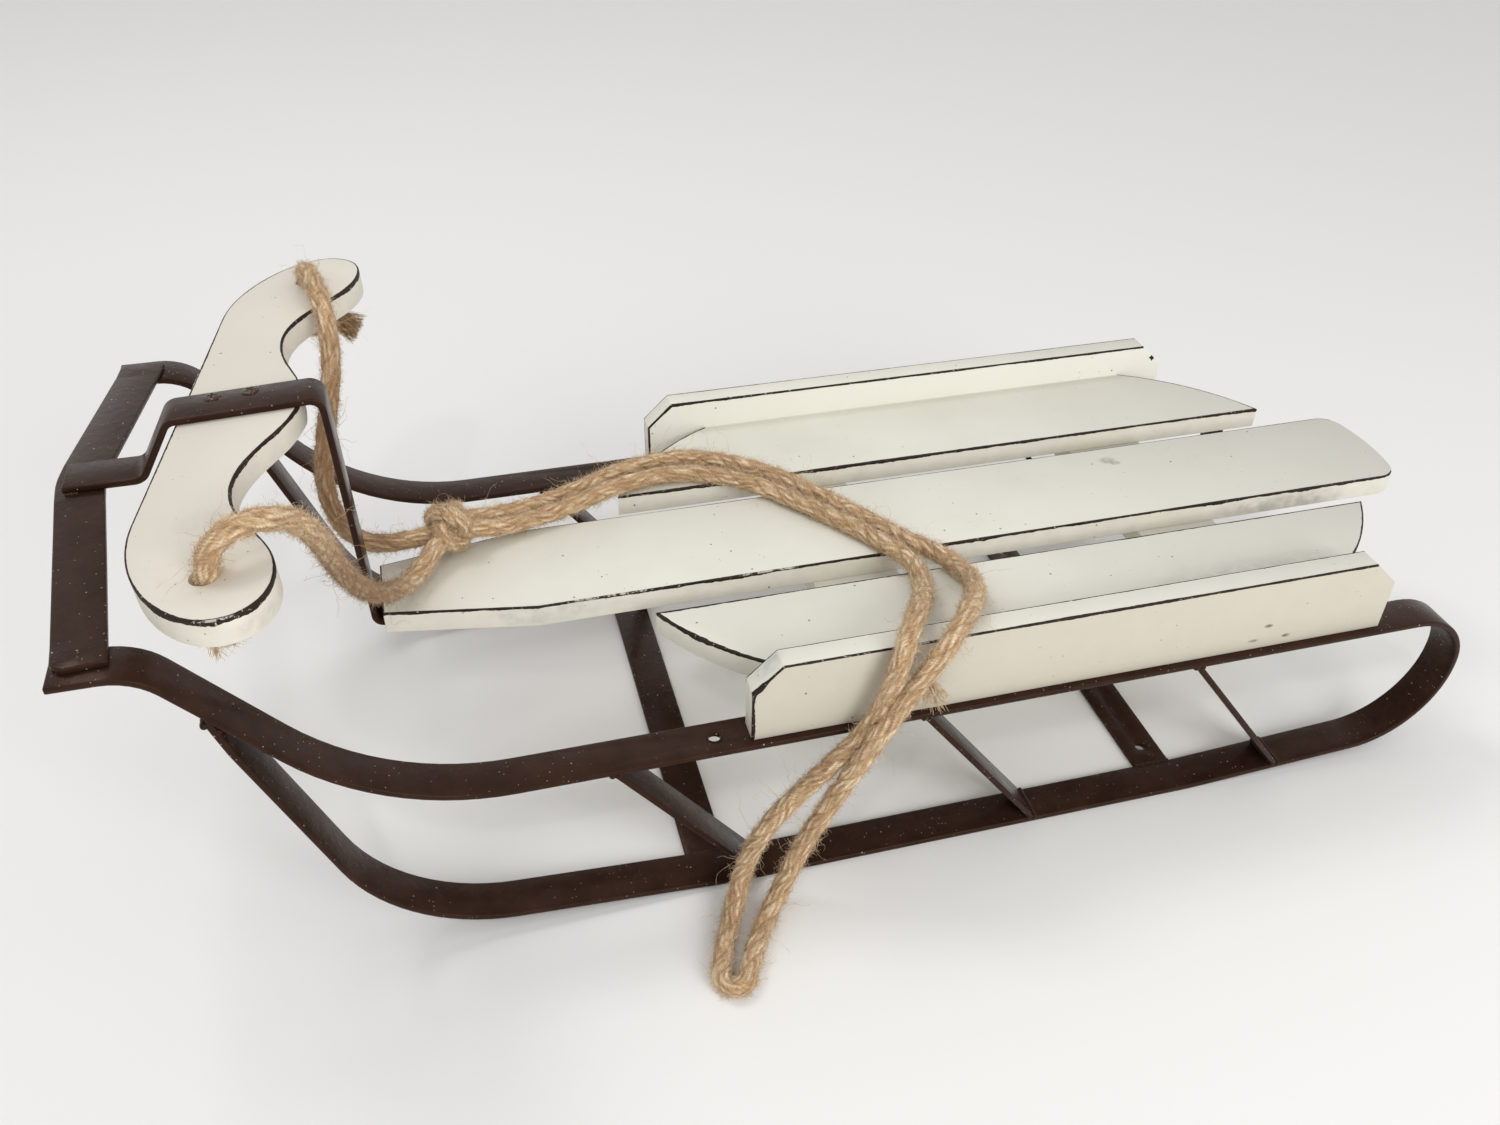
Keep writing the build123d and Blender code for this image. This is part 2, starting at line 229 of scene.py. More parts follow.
chalkPaint = {
    # besides the paint's own tones and its dirt, these colours hold painted shade and painted light: a greyer
    # front, a greyer rear of the seat, lighter inner faces of the side boards, and greyer side faces and
    # outer faces
    "white": "#e4e2d6", "cream": "#dddbce", "frontShade": "#dbd3c6", "worn": "#c3beb6", "litInnerFace": "#eeece1",
    "side": "#e2ddcf", "sideShade": "#d9d4c7", "shadedOuterFace": "#c2baa8", "dirt": "#b5b0a8",
    "pinhole": "#5d544d", "brushWidth": 0.0022, "brushStretch": (0.06, 1.0, 1.0), "relief": 0.00009,
    "innerFaceY": 0.1095, "outerFaceY": 0.1208, "boardsEndX": 0.08,
}
marksAndShadows = [
    # middle, half size, colour and strength of each mark on the white paint; some of them are painted shade
    # and painted shadow, as noted
    ((-0.1840, -0.0200, 0.1165), (0.0045, 0.0030, 0.003), "#8d7f70", 0.75),
    ((-0.1870, -0.0165, 0.1165), (0.0030, 0.0018, 0.003), "#6f6154", 0.7),
    ((-0.1995, 0.1215, 0.1063), (0.0024, 0.002, 0.0011), "#6a4a30", 0.95),
    ((-0.1930, 0.1215, 0.0981), (0.0028, 0.002, 0.0009), "#6a4a30", 0.95),
    ((-0.2115, 0.1215, 0.0981), (0.0024, 0.002, 0.0011), "#6a4a30", 0.95),
    ((-0.2100, 0.0950, 0.1165), (0.0700, 0.0130, 0.004), "#b4b0a9", 0.45),
    # painted shade: a grey patch on the centre slat's side, in the gap to the near slat
    ((-0.2650, 0.0322, 0.1090), (0.0400, 0.0040, 0.0060), "#a5a19a", 0.6),
    ((0.0540, 0.1120, 0.1300), (0.0090, 0.0070, 0.0080), "#a9b0b2", 0.55),
    # painted shadow: a dark spot under the tow loop where it lies across the near slat's edge
    ((-0.0340, 0.0490, 0.1165), (0.0050, 0.0035, 0.004), "#4a4340", 0.8),
    ((0.2560, 0.0860, 0.2240), (0.0200, 0.0100, 0.010), "#b9b4ab", 0.4),
    ((0.2480, 0.1420, 0.2180), (0.0110, 0.0080, 0.004), "#b6aca0", 0.45),
    # painted shade: another grey patch on the centre slat's side, in the gap to the near slat
    ((0.1500, 0.0322, 0.1110), (0.0450, 0.0040, 0.0060), "#b7b5ac", 0.5),
]


def makeChalkPaint():
    # chalk paint on pine: matt white with faint brush marks, dark pinholes and a little handling dirt, with
    # painted shade on the front, the rear of the seat, the side faces and the outer faces, and painted light
    # on the inner faces
    material, tree, place = startMaterial("chalkPaintOnPine")
    paint = chalkPaint
    up = parted(tree, addNode(tree, "ShaderNodeNewGeometry").outputs["Normal"])["Z"]
    part = parted(tree, place)
    sideways = mathNode(tree, "ABSOLUTE", part["Y"])
    onBoards = limits(tree, part["X"], paint["boardsEndX"] + 0.01, paint["boardsEndX"])
    litInnerFace = times(tree, mathNode(tree, "COMPARE", sideways, paint["innerFaceY"], 0.0012), onBoards)
    shadedSideFace = times(tree, limits(tree, up, 0.75, 0.45), minus(tree, 1.0, litInnerFace))
    shadedOuterFace = limits(tree, sideways, paint["outerFaceY"], paint["outerFaceY"] + 0.0005, 0.0, 0.7)
    shadedOuterFace = times(tree, shadedOuterFace, onBoards)
    base = blend(tree, patches(tree, place, 0.06, 0.35, 0.7), paint["white"], paint["cream"])
    # painted shade: towards the front, over the steering bar, the paint is made warmer and greyer
    base = blend(tree, limits(tree, part["X"], 0.14, 0.24, 0.0, 0.75), base, paint["frontShade"])
    # and the tops towards the rear of the seat are painted greyer, as painted shade
    rearShade = times(tree, limits(tree, part["X"], -0.08, -0.34, 0.0, 0.75), limits(tree, up, 0.75, 0.9))
    base = blend(tree, rearShade, base, paint["worn"])
    # painted light: the inner faces of the side boards are made lighter
    base = blend(tree, times(tree, litInnerFace, 0.8), base, paint["litInnerFace"])
    # painted shade: the faces that stand up from the top are given a greyer, mottled tone
    sideShadeTone = blend(tree, patches(tree, place, 0.009, 0.4, 0.68, 4.0), paint["side"], paint["sideShade"])
    base = blend(tree, times(tree, shadedSideFace, 0.7), base, sideShadeTone)
    # painted shade: the outer faces of the side boards are made darker still
    base = blend(tree, times(tree, shadedSideFace, shadedOuterFace), base, paint["shadedOuterFace"])
    dirt = times(tree, patches(tree, place, 0.03, 0.62, 0.8, 5.0, 0.7),
                 patches(tree, place, 0.004, 0.35, 0.6, 2.0))
    base = blend(tree, times(tree, dirt, 0.22), base, paint["dirt"])
    patchy = patches(tree, place, 0.0060, 0.28, 0.62, 4.0)
    # each mark, painted shade and painted shadow among them, is blended in through patchy noise
    for middle, half, colour, strength in marksAndShadows:
        share = vectorNode(tree, "DIVIDE", vectorNode(tree, "SUBTRACT", place, middle), half)
        reach = addNode(tree, "ShaderNodeVectorMath", {0: share}, operation="LENGTH").outputs["Value"]
        mark = times(tree, limits(tree, reach, 1.25, 0.6, 0.0, strength), patchy)
        base = blend(tree, mark, base, colour)
    crowded = patches(tree, place, 0.05, 0.42, 0.6, 2.0)
    pinholes = larger(tree, specks(tree, place, 0.0075, 0.22, 0.00062),
                      times(tree, specks(tree, place, 0.0034, 0.22, 0.00034), crowded))
    base = blend(tree, times(tree, pinholes, 0.8), base, paint["pinhole"])
    alongGrain = result(tree, "ShaderNodeMapping", {"Vector": place, "Scale": paint["brushStretch"]})
    height = plus(tree, noiseField(tree, alongGrain, paint["brushWidth"]), times(tree, pinholes, -2.0))
    return endMaterial(material, {
        "Base Color": base, "Roughness": 0.5, "Specular IOR Level": 0.28, "IOR": 1.5,
    }, height, paint["relief"])


penInk = {"black": "#1e1511", "thin": "#33271f", "bare": "#bdb7ad"}
inkSkipsAndGlints = [
    # where the pen left flecks of paint bare, and where the corner carries a painted highlight: middle and
    # reach
    ((0.2610, 0.1470, 0.2240), 0.010), ((0.2860, -0.0320, 0.2230), 0.018),
    ((0.1080, 0.0322, 0.1160), 0.030), ((0.0300, 0.0322, 0.1160), 0.022), ((-0.0180, 0.1100, 0.1335), 0.020),
]


def makePenInk():
    # marker ink: thin and brownish black, with flecks where the pen skipped, and a pale streak along the
    # corner that is painted highlight
    material, tree, place = startMaterial("blackMarkerInk")
    worn = patches(tree, place, 0.02, 0.42, 0.58, 1.0)
    for middle, reach in inkSkipsAndGlints:
        worn = larger(tree, worn, nearTo(tree, place, middle, reach, 0.5, 1.6))
    skipped = plus(tree, noiseField(tree, place, 0.0018, 4.0, 0.7), times(tree, worn, 0.05))
    skipped = times(tree, limits(tree, skipped, 0.66, 0.70), limits(tree, worn, 0.0, 0.3))
    # on the corner itself, between the rows on the face and those on the side, the paint colour shows as a
    # painted highlight of the rounded edge
    rows = plus(tree, attribute(tree, "onFace"), attribute(tree, "onSide"))
    corner = times(tree, limits(tree, rows, 0.12, 0.03), patches(tree, place, 0.0022, 0.44, 0.52))
    corner = times(tree, corner, limits(tree, worn, 1.0, 1.5))
    ink = blend(tree, patches(tree, place, 0.012, 0.3, 0.7), penInk["black"], penInk["thin"])
    # the pale colour serves both the skipped flecks and the painted highlight on the corner
    colour = blend(tree, larger(tree, skipped, corner), ink, penInk["bare"])
    return endMaterial(material, {
        "Base Color": colour, "Roughness": 0.5, "IOR": 1.5, "Specular IOR Level": 0.15})


brownEnamel = {"dark": "#2a1a13", "light": "#38251d", "dust": "#b5a99f", "glint": "#d9b8a4"}
blisters = [
    # where the brown paint lies thick and rough: middle and reach
    ((0.2540, -0.0054, 0.2285), 0.0085), ((0.2696, -0.0051, 0.2278), 0.0085),
    ((0.3340, 0.0100, 0.1985), 0.0090),
    ((0.3270, 0.1150, 0.1880), 0.0130), ((0.3270, -0.1150, 0.1880), 0.0130),
]


def makeBrownEnamel(name, shine, roughest, relief):
    # brown enamel on mild steel strap: glossy, slightly rippled, with pale dust stuck in it
    material, tree, place = startMaterial(name)
    base = blend(tree, patches(tree, place, 0.018, 0.35, 0.7, 5.0, 0.65),
                 brownEnamel["dark"], brownEnamel["light"])
    thick = 0.0
    for middle, reach in blisters:
        thick = larger(tree, nearTo(tree, place, middle, reach, 0.6), thick)
    dust = larger(tree, specks(tree, place, 0.0045, 0.30, 0.00048),
                  specks(tree, place, 0.0018, 0.22, 0.00030))
    dust = times(tree, dust, larger(tree, patches(tree, place, 0.045, 0.38, 0.52), thick))
    base = blend(tree, times(tree, dust, 0.85), base, brownEnamel["dust"])
    grain = times(tree, noiseField(tree, place, 0.0014, 2.0), times(tree, thick, 0.8))
    ripple = plus(tree, plus(tree, noiseField(tree, place, 0.0045), times(tree, dust, 0.6)), grain)
    gloss = plus(tree, noiseField(tree, place, 0.02, 4.0), times(tree, thick, -0.3))
    return endMaterial(material, {
        "Base Color": base, "Roughness": limits(tree, gloss, 0.3, 0.7, 0.5 * roughest, roughest), "IOR": 1.5,
        "Specular IOR Level": shine, "Specular Tint": brownEnamel["glint"]}, ripple, relief)


juteTones = {
    # the crown colour is painted highlight on the yarns' tops; the crease and groove colours are painted
    # shade in the hollows; the deep brown #794c22 is painted shade on the hanging leads; the cut pair is
    # painted shade on the far brush
    "creaseShade": "#8f6c4a", "yarn": "#cfaa80", "crown": "#f6e3c2", "patch": "#b8925f", "groove": "#7f5f3f",
    "soil": "#794c22", "loose": ("#ad8860", "#f5e2c0"), "cut": ("#74573a", "#cdac80"),
}


def soil(tree, place, colour):
    # painted shade: the leads are made browner where they hang clear of the bar, but not their frayed ends
    # below it
    part = parted(tree, place)
    leadShadeShare = times(tree, limits(tree, part["X"], 0.195, 0.212, 0.0, 0.5),
                   limits(tree, part["Z"], 0.228, 0.190))
    offEnds = limits(tree, mathNode(tree, "ABSOLUTE", part["Y"]), 0.112, 0.098)
    return blend(tree, times(tree, leadShadeShare, offEnds), colour, juteTones["soil"])


def makeJute():
    # three-ply jute: dry, matt bast fibre, painted paler on the top of each yarn as painted highlight and
    # browner in the creases and grooves between as painted shade
    material, tree, place = startMaterial("threePlyJute")
    along, groove, crown = (attribute(tree, name) for name in ("strandAlong", "grooveShare", "yarnCrown"))
    yarnTwist = 2 * math.pi / rope["strands"]["yarnLay"]
    turned = result(tree, "ShaderNodeVectorRotate", {
        "Vector": attribute(tree, "strandRound", "Vector"), "Angle": times(tree, along, yarnTwist),
    }, rotation_type="Z_AXIS")
    lie = vectorNode(tree, "ADD", turned, joined(tree, z=times(tree, along, 0.15)))
    streak = noiseField(tree, lie, 0.0006, 3.0, 0.7)
    patch = noiseField(tree, place, 0.0045, 4.0, 0.65)
    height = plus(tree, times(tree, crown, 0.35), times(tree, streak, 0.35))
    height = plus(tree, height, noiseField(tree, lie, 0.0019, 2.0, 0.5))
    # painted shade in the creases and painted highlight on the crowns
    colour = blend(tree, limits(tree, height, 0.58, 0.90), juteTones["creaseShade"], juteTones["yarn"])
    colour = blend(tree, limits(tree, height, 0.90, 1.10), colour, juteTones["crown"])
    colour = blend(tree, limits(tree, patch, 0.45, 0.7, 0.0, 0.35), colour, juteTones["patch"])
    shade = times(tree, limits(tree, groove, 0.7, 1.0, 0.0, 0.2), limits(tree, patch, 0.4, 0.6))
    colour = soil(tree, place, blend(tree, shade, colour, juteTones["groove"]))
    return endMaterial(material, {
        "Base Color": colour, "Roughness": 0.85, "Specular IOR Level": 0.25, "Sheen Weight": 0.2,
        "Sheen Roughness": 0.6}, times(tree, streak, limits(tree, groove, 0.95, 0.7)), 0.0006)


def makeJuteFibre(name, tones):
    # single bast fibres: those standing off the rope are pale, and the cut ends are given a darker colour,
    # which is painted shade
    material, tree, place = startMaterial(name)
    colour = soil(tree, place, blend(tree, patches(tree, place, 0.0022, 0.3, 0.7), *tones))
    return endMaterial(material, {"Base Color": colour, "Roughness": 0.6, "Specular IOR Level": 0.4})


def makeFloor():
    return endMaterial(startMaterial("paleFloor")[0], {
        "Base Color": "#f3f2f0", "Roughness": 0.9, "Specular IOR Level": 0.1})


# Geometry Nodes trees

def startTree(name, sizes):
    tree = bpy.data.node_groups.new(name, "GeometryNodeTree")
    for way in ("INPUT", "OUTPUT"):
        tree.interface.new_socket("Geometry", in_out=way, socket_type="NodeSocketGeometry")
    for key, value in sizes.items():
        kind = "NodeSocketInt" if isinstance(value, int) else "NodeSocketFloat"
        tree.interface.new_socket(key, in_out="INPUT", socket_type=kind)
    return tree, addNode(tree, "NodeGroupInput").outputs


def endTree(tree, geometry, material):
    solid = result(tree, "GeometryNodeRealizeInstances", {"Geometry": geometry})
    smooth = result(tree, "GeometryNodeSetShadeSmooth", {"Geometry": solid})
    painted = result(tree, "GeometryNodeSetMaterial", {"Geometry": smooth, "Material": material})
    addNode(tree, "NodeGroupOutput", {0: painted})
    return tree


def growMesh(name, tree, sizes, source):
    # runs a tree on a source mesh and keeps the result as a plain mesh
    carrier = bpy.data.objects.new(name, source)
    collection.objects.link(carrier)
    modifier = carrier.modifiers.new(name, "NODES")
    modifier.node_group = tree
    for item in tree.interface.items_tree:
        if item.in_out == "INPUT" and item.name in sizes:
            modifier[item.identifier] = sizes[item.name]
    depsgraph = bpy.context.evaluated_depsgraph_get()
    mesh = bpy.data.meshes.new_from_object(
        carrier.evaluated_get(depsgraph), preserve_all_data_layers=True, depsgraph=depsgraph)
    bpy.data.objects.remove(carrier)
    mesh.name = name
    return mesh


def scaledVector(tree, vector, factor):
    return result(tree, "ShaderNodeVectorMath", {0: vector, "Scale": factor}, operation="SCALE")


def keep(tree, geometry, name, value, kind="FLOAT"):
    # stores a value on the points under a name, and kept reads it back
    return result(tree, "GeometryNodeStoreNamedAttribute", {
        "Geometry": geometry, "Name": name, "Value": value}, data_type=kind)


def kept(tree, name, kind="FLOAT"):
    return result(tree, "GeometryNodeInputNamedAttribute", {"Name": name}, data_type=kind)


def noiseAt(tree, spot, scale, detail=2.0):
    return addNode(tree, "ShaderNodeTexNoise", {"Vector": spot, "Scale": scale, "Detail": detail}).outputs


def randomNumber(tree, low, high, seed):
    return addNode(tree, "FunctionNodeRandomValue", {
        2: low, 3: high, "Seed": seed}, data_type="FLOAT").outputs[1]


def evenLine(tree, size):
    # the source's polyline as a curve with its points one step apart
    line = result(tree, "GeometryNodeMeshToCurve", {"Mesh": size["Geometry"]})
    return result(tree, "GeometryNodeResampleCurve", {"Curve": line, "Length": size["step"]}, mode="LENGTH")


def circle(tree, points, radius):
    return result(tree, "GeometryNodeCurvePrimitiveCircle", {"Resolution": points, "Radius": radius})


def swept(tree, line, section, others=None):
    return result(tree, "GeometryNodeCurveToMesh", {
        "Curve": line, "Profile Curve": section, **(others or {})})


def moved(tree, geometry, socket, value):
    # the socket is Position, for the new place, or Offset, for the shift
    return result(tree, "GeometryNodeSetPosition", {"Geometry": geometry, socket: value})


def planted(tree, points, piece, others=None):
    return result(tree, "GeometryNodeInstanceOnPoints", {
        "Points": points, "Instance": piece, **(others or {})})


def aligned(tree, axis, vector, others=None):
    # turns an axis to a vector, starting from another rotation where one is given
    return result(tree, "FunctionNodeAlignRotationToVector", {"Vector": vector, **(others or {})}, axis=axis)


def ropeTree(sizes, material):
    # one skin round the three strands: a three-lobed ring, carried along the line and turned with the lay
    tree, size = startTree("threePlyRope", sizes)
    fullTurn = 2 * math.pi
    halfLobe = math.pi / 3
    along = addNode(tree, "GeometryNodeSplineParameter").outputs["Length"]
    lay = times(tree, along, mathNode(tree, "DIVIDE", fullTurn, size["layLength"]))
    drift = addNode(tree, "ShaderNodeTexNoise", {
        "W": along, "Scale": 30.0, "Detail": 1.0}, noise_dimensions="1D").outputs["Fac"]
    lay = timesPlus(tree, drift, size["layDrift"], lay)
    line = result(tree, "GeometryNodeSetCurveTilt", {"Curve": evenLine(tree, size), "Tilt": lay})
    line = keep(tree, line, "strandAlong", along)
    line = keep(tree, line, "ropeDirection", result(tree, "GeometryNodeInputTangent"), "FLOAT_VECTOR")
    spot = result(tree, "GeometryNodeInputPosition")
    across = parted(tree, spot)
    angle = mathNode(tree, "ARCTAN2", across["Y"], across["X"])
    lobeAngle = mathNode(tree, "WRAP", angle, halfLobe, -halfLobe)
    hollow = timesPlus(tree, mathNode(tree, "COSINE", times(tree, lobeAngle, 3.0)), 0.5, -0.5)
    radius = plus(tree, size["strandOffset"], size["strandRadius"])
    reach = timesPlus(tree, hollow, size["grooveDepth"], radius)
    outward = times(tree, reach, mathNode(tree, "COSINE", lobeAngle))
    inStrand = joined(tree, minus(tree, outward, size["strandOffset"]),
                      times(tree, reach, mathNode(tree, "SINE", lobeAngle)),
                      times(tree, minus(tree, angle, lobeAngle), 0.05))
    ring = circle(tree, size["ringPoints"], 1.0)
    ring = keep(tree, ring, "strandRound", inStrand, "FLOAT_VECTOR")
    groove = mathNode(tree, "DIVIDE", mathNode(tree, "ABSOLUTE", lobeAngle), halfLobe)
    ring = keep(tree, ring, "grooveShare", groove)
    ring = moved(tree, ring, "Position", scaledVector(tree, spot, reach))
    thickness = timesPlus(tree, noiseAt(tree, spot, 110.0)["Fac"], size["unevenness"],
                          timesPlus(tree, size["unevenness"], -0.5, 1.0))
    skin = swept(tree, line, ring, {"Scale": thickness, "Fill Caps": True})
    # the yarns of each strand: ridges that wind the other way round it, so they run along the rope
    inStrand = parted(tree, kept(tree, "strandRound", "FLOAT_VECTOR"))
    winding = times(tree, kept(tree, "strandAlong"), mathNode(tree, "DIVIDE", fullTurn, size["yarnLay"]))
    winding = plus(tree, winding, mathNode(tree, "ARCTAN2", inStrand["Y"], inStrand["X"]))
    wobble = timesPlus(tree, noiseAt(tree, spot, 170.0)["Fac"], 4.0, times(tree, inStrand["Z"], 60.0))
    phase = timesPlus(tree, winding, times(tree, size["yarns"], 0.5), wobble)
    sinking = timesPlus(tree, mathNode(tree, "POWER", kept(tree, "grooveShare"), 6.0), -1.0, 1.0)
    crown = mathNode(tree, "ABSOLUTE", mathNode(tree, "SINE", phase))
    crown = timesPlus(tree, minus(tree, crown, 0.25), sinking, 0.25)
    skin = keep(tree, skin, "yarnCrown", crown)
    raised = times(tree, minus(tree, noiseAt(tree, spot, 520.0)["Fac"], 0.5), size["lumps"])
    raised = timesPlus(tree, minus(tree, crown, 0.7), size["yarnDepth"], raised)
    skin = moved(tree, skin, "Offset", scaledVector(tree, result(tree, "GeometryNodeInputNormal"), raised))
    return endTree(tree, skin, material)


def fibreTree(sizes, material):
    # single fibres that stand off a mesh, lean along the rope and are each bent and shaken their own way
    tree, size = startTree("looseFibres", sizes)
    floorGap = 0.0003
    roots = addNode(tree, "GeometryNodeDistributePointsOnFaces", {
        "Mesh": size["Geometry"], "Density": size["perSquareMetre"], "Seed": size["seed"]}).outputs
    lean = size["lean"]
    ends = {"Start": (0, 0, 0), "End": joined(tree, lean, z=timesPlus(tree, lean, -0.5, 1.0))}
    if "bends" in sizes:
        middle = joined(tree, times(tree, lean, 0.25), z=0.42)
        fibre = result(tree, "GeometryNodeCurveQuadraticBezier", {
            "Resolution": size["bends"], "Middle": middle, **ends})
    else:
        fibre = result(tree, "GeometryNodeCurvePrimitiveLine", ends)
    upright = aligned(tree, "X", kept(tree, "ropeDirection", "FLOAT_VECTOR"))
    upright = aligned(tree, "Z", roots["Normal"], {"Rotation": upright})
    swing = randomNumber(tree, times(tree, size["spread"], -1.0), size["spread"], size["seed"])
    backward = addNode(tree, "FunctionNodeRandomValue", {
        4: 0, 5: 1, "Seed": plus(tree, size["seed"], 3)}, data_type="INT").outputs[2]
    spun = result(tree, "FunctionNodeAxisAngleToRotation", {
        "Axis": (0, 0, 1), "Angle": timesPlus(tree, backward, math.pi, swing)})
    upright = result(tree, "FunctionNodeRotateRotation", {
        "Rotation": upright, "Rotate By": spun}, rotation_space="LOCAL")
    share = randomNumber(tree, 0.0, 1.0, plus(tree, size["seed"], 7))
    length = timesPlus(tree, mathNode(tree, "POWER", share, size["rarity"]),
                       minus(tree, size["longest"], size["shortest"]), size["shortest"])
    loose = planted(tree, roots["Points"], fibre, {"Rotation": upright, "Scale": length})
    loose = result(tree, "GeometryNodeRealizeInstances", {"Geometry": loose})
    share = addNode(tree, "GeometryNodeSplineParameter").outputs["Factor"]
    spot = result(tree, "GeometryNodeInputPosition")
    shake = noiseAt(tree, spot, size["curlScale"], 1.0)["Color"]
    shake = vectorNode(tree, "SUBTRACT", shake, (0.5, 0.5, 0.5))
    loose = moved(tree, loose, "Offset", scaledVector(tree, shake, times(tree, share, size["curl"])))
    part = parted(tree, spot)
    onFloor = joined(tree, part["X"], part["Y"], larger(tree, part["Z"], floorGap))
    loose = moved(tree, loose, "Position", onFloor)
    thinning = timesPlus(tree, share, -0.6, 1.0)
    tube = swept(tree, loose, circle(tree, 3, size["thickness"]), {"Scale": thinning})
    return endTree(tree, tube, material)


def penTree(sizes, material, section):
    # a pen line wrapped over a board's edge: one side on the face, the other on the side below it
    tree, size = startTree("penLine", sizes)
    line = result(tree, "GeometryNodeSetCurveNormal", {"Curve": evenLine(tree, size)}, mode="Z_UP")
    normal = result(tree, "GeometryNodeInputNormal")
    below = vectorNode(tree, "CROSS_PRODUCT", result(tree, "GeometryNodeInputTangent"), normal)
    line = keep(tree, line, "outward", normal, "FLOAT_VECTOR")
    line = keep(tree, line, "downward", below, "FLOAT_VECTOR")
    corner = addNode(tree, "GeometryNodeObjectInfo", {"Object": section}).outputs["Geometry"]
    strip = swept(tree, line, result(tree, "GeometryNodeMeshToCurve", {"Mesh": corner}))
    spot = result(tree, "GeometryNodeInputPosition")
    for direction, rows, width, offset in (
        ("outward", "onFace", times(tree, size["faceWidth"], -1.0), 0.0),
        ("downward", "onSide", size["sideWidth"], 0.71),
    ):
        ragged = noiseAt(tree, vectorNode(tree, "ADD", spot, (offset, 0.0, 0.0)), size["raggedness"])["Fac"]
        reach = timesPlus(tree, ragged, 1.3, 0.35)
        for name in ("penWeight", rows):
            reach = times(tree, reach, kept(tree, name))
        way = kept(tree, direction, "FLOAT_VECTOR")
        strip = moved(tree, strip, "Offset", scaledVector(tree, way, times(tree, reach, width)))
    return endTree(tree, strip, material)


def beadTree(sizes, material):
    # a weld bead: overlapping drops of metal along the joint, under the paint
    tree, size = startTree("weldBead", sizes)
    line = result(tree, "GeometryNodeMeshToCurve", {"Mesh": size["Geometry"]})
    drops = result(tree, "GeometryNodeCurveToPoints", {"Curve": line, "Length": size["pitch"]}, mode="LENGTH")
    drop = result(tree, "GeometryNodeMeshIcoSphere", {"Radius": size["radius"], "Subdivisions": 2})
    fat = randomNumber(tree, 0.8, 1.1, size["seed"])
    return endTree(tree, planted(tree, drops, drop, {"Scale": fat}), material)


def headTree(sizes, material):
    # domed screw heads with a cross, one at each point of the mesh, facing its stored direction
    tree, size = startTree("screwHeads", sizes)
    radius = size["radius"]
    dome = result(tree, "GeometryNodeMeshUVSphere", {"Segments": 24, "Rings": 12, "Radius": radius})
    dome = result(tree, "GeometryNodeTransform", {
        "Geometry": dome, "Scale": joined(tree, 1.0, 1.0, size["flatness"])})
    depth = times(tree, radius, size["flatness"])
    for longSide, shortSide in ((1.1, 0.2), (0.2, 1.1)):
        extent = joined(tree, times(tree, radius, longSide), times(tree, radius, shortSide), depth)
        cut = result(tree, "GeometryNodeTransform", {
            "Geometry": result(tree, "GeometryNodeMeshCube", {"Size": extent}),
            "Translation": joined(tree, z=depth)})
        dome = result(tree, "GeometryNodeMeshBoolean", {
            "Mesh 1": dome, "Mesh 2": cut}, operation="DIFFERENCE")
    spun = result(tree, "FunctionNodeAxisAngleToRotation", {
        "Axis": (0, 0, 1), "Angle": randomNumber(tree, 0.0, 1.6, size["seed"])})
    upright = aligned(tree, "Z", kept(tree, "facing", "FLOAT_VECTOR"), {"Rotation": spun})
    return endTree(tree, planted(tree, size["Geometry"], dome, {"Rotation": upright}), material)


def rimTree(sizes, material):
    # the small raised burr of paint round a drilled hole
    tree, size = startTree("holeRim", sizes)
    rim = swept(tree, circle(tree, 28, size["radius"]), circle(tree, 8, size["thickness"]))
    return endTree(tree, planted(tree, size["Geometry"], rim), material)


# Rope, on the same given points as the solid part's cords, with the ends run on into the tow knot

rope = {
    "diameter": 0.0095, "resolution": 16, "knotCrowding": 1.7,
    "strands": {
        "strandOffset": 0.95 * mm, "strandRadius": 3.6 * mm, "grooveDepth": 0.35 * mm, "layLength": 0.036,
        "layDrift": 3.0, "yarnLay": 0.028, "yarns": 8.0, "yarnDepth": 0.0009, "step": 0.00120,
        "unevenness": 0.14, "lumps": 0.0012, "ringPoints": 54},
    "nap": {
        "perSquareMetre": 700000.0, "shortest": 0.0011, "longest": 0.0034, "rarity": 1.5,
        "thickness": 0.00008, "lean": 0.85, "spread": 3.1, "curl": 0.0016, "curlScale": 500.0, "seed": 8},
    "fuzz": {
        "perSquareMetre": 130000.0, "shortest": 0.0025, "longest": 0.0066, "rarity": 2.2,
        "thickness": 0.00008, "lean": 0.8, "spread": 1.4, "curl": 0.0034, "curlScale": 300.0,
        "bends": 1, "seed": 4},
    "strays": {
        "perSquareMetre": 6500.0, "shortest": 0.007, "longest": 0.022, "rarity": 1.8,
        "thickness": 0.0001, "lean": 0.9, "spread": 3.1, "curl": 0.026, "curlScale": 105.0,
        "bends": 9, "seed": 11},
}
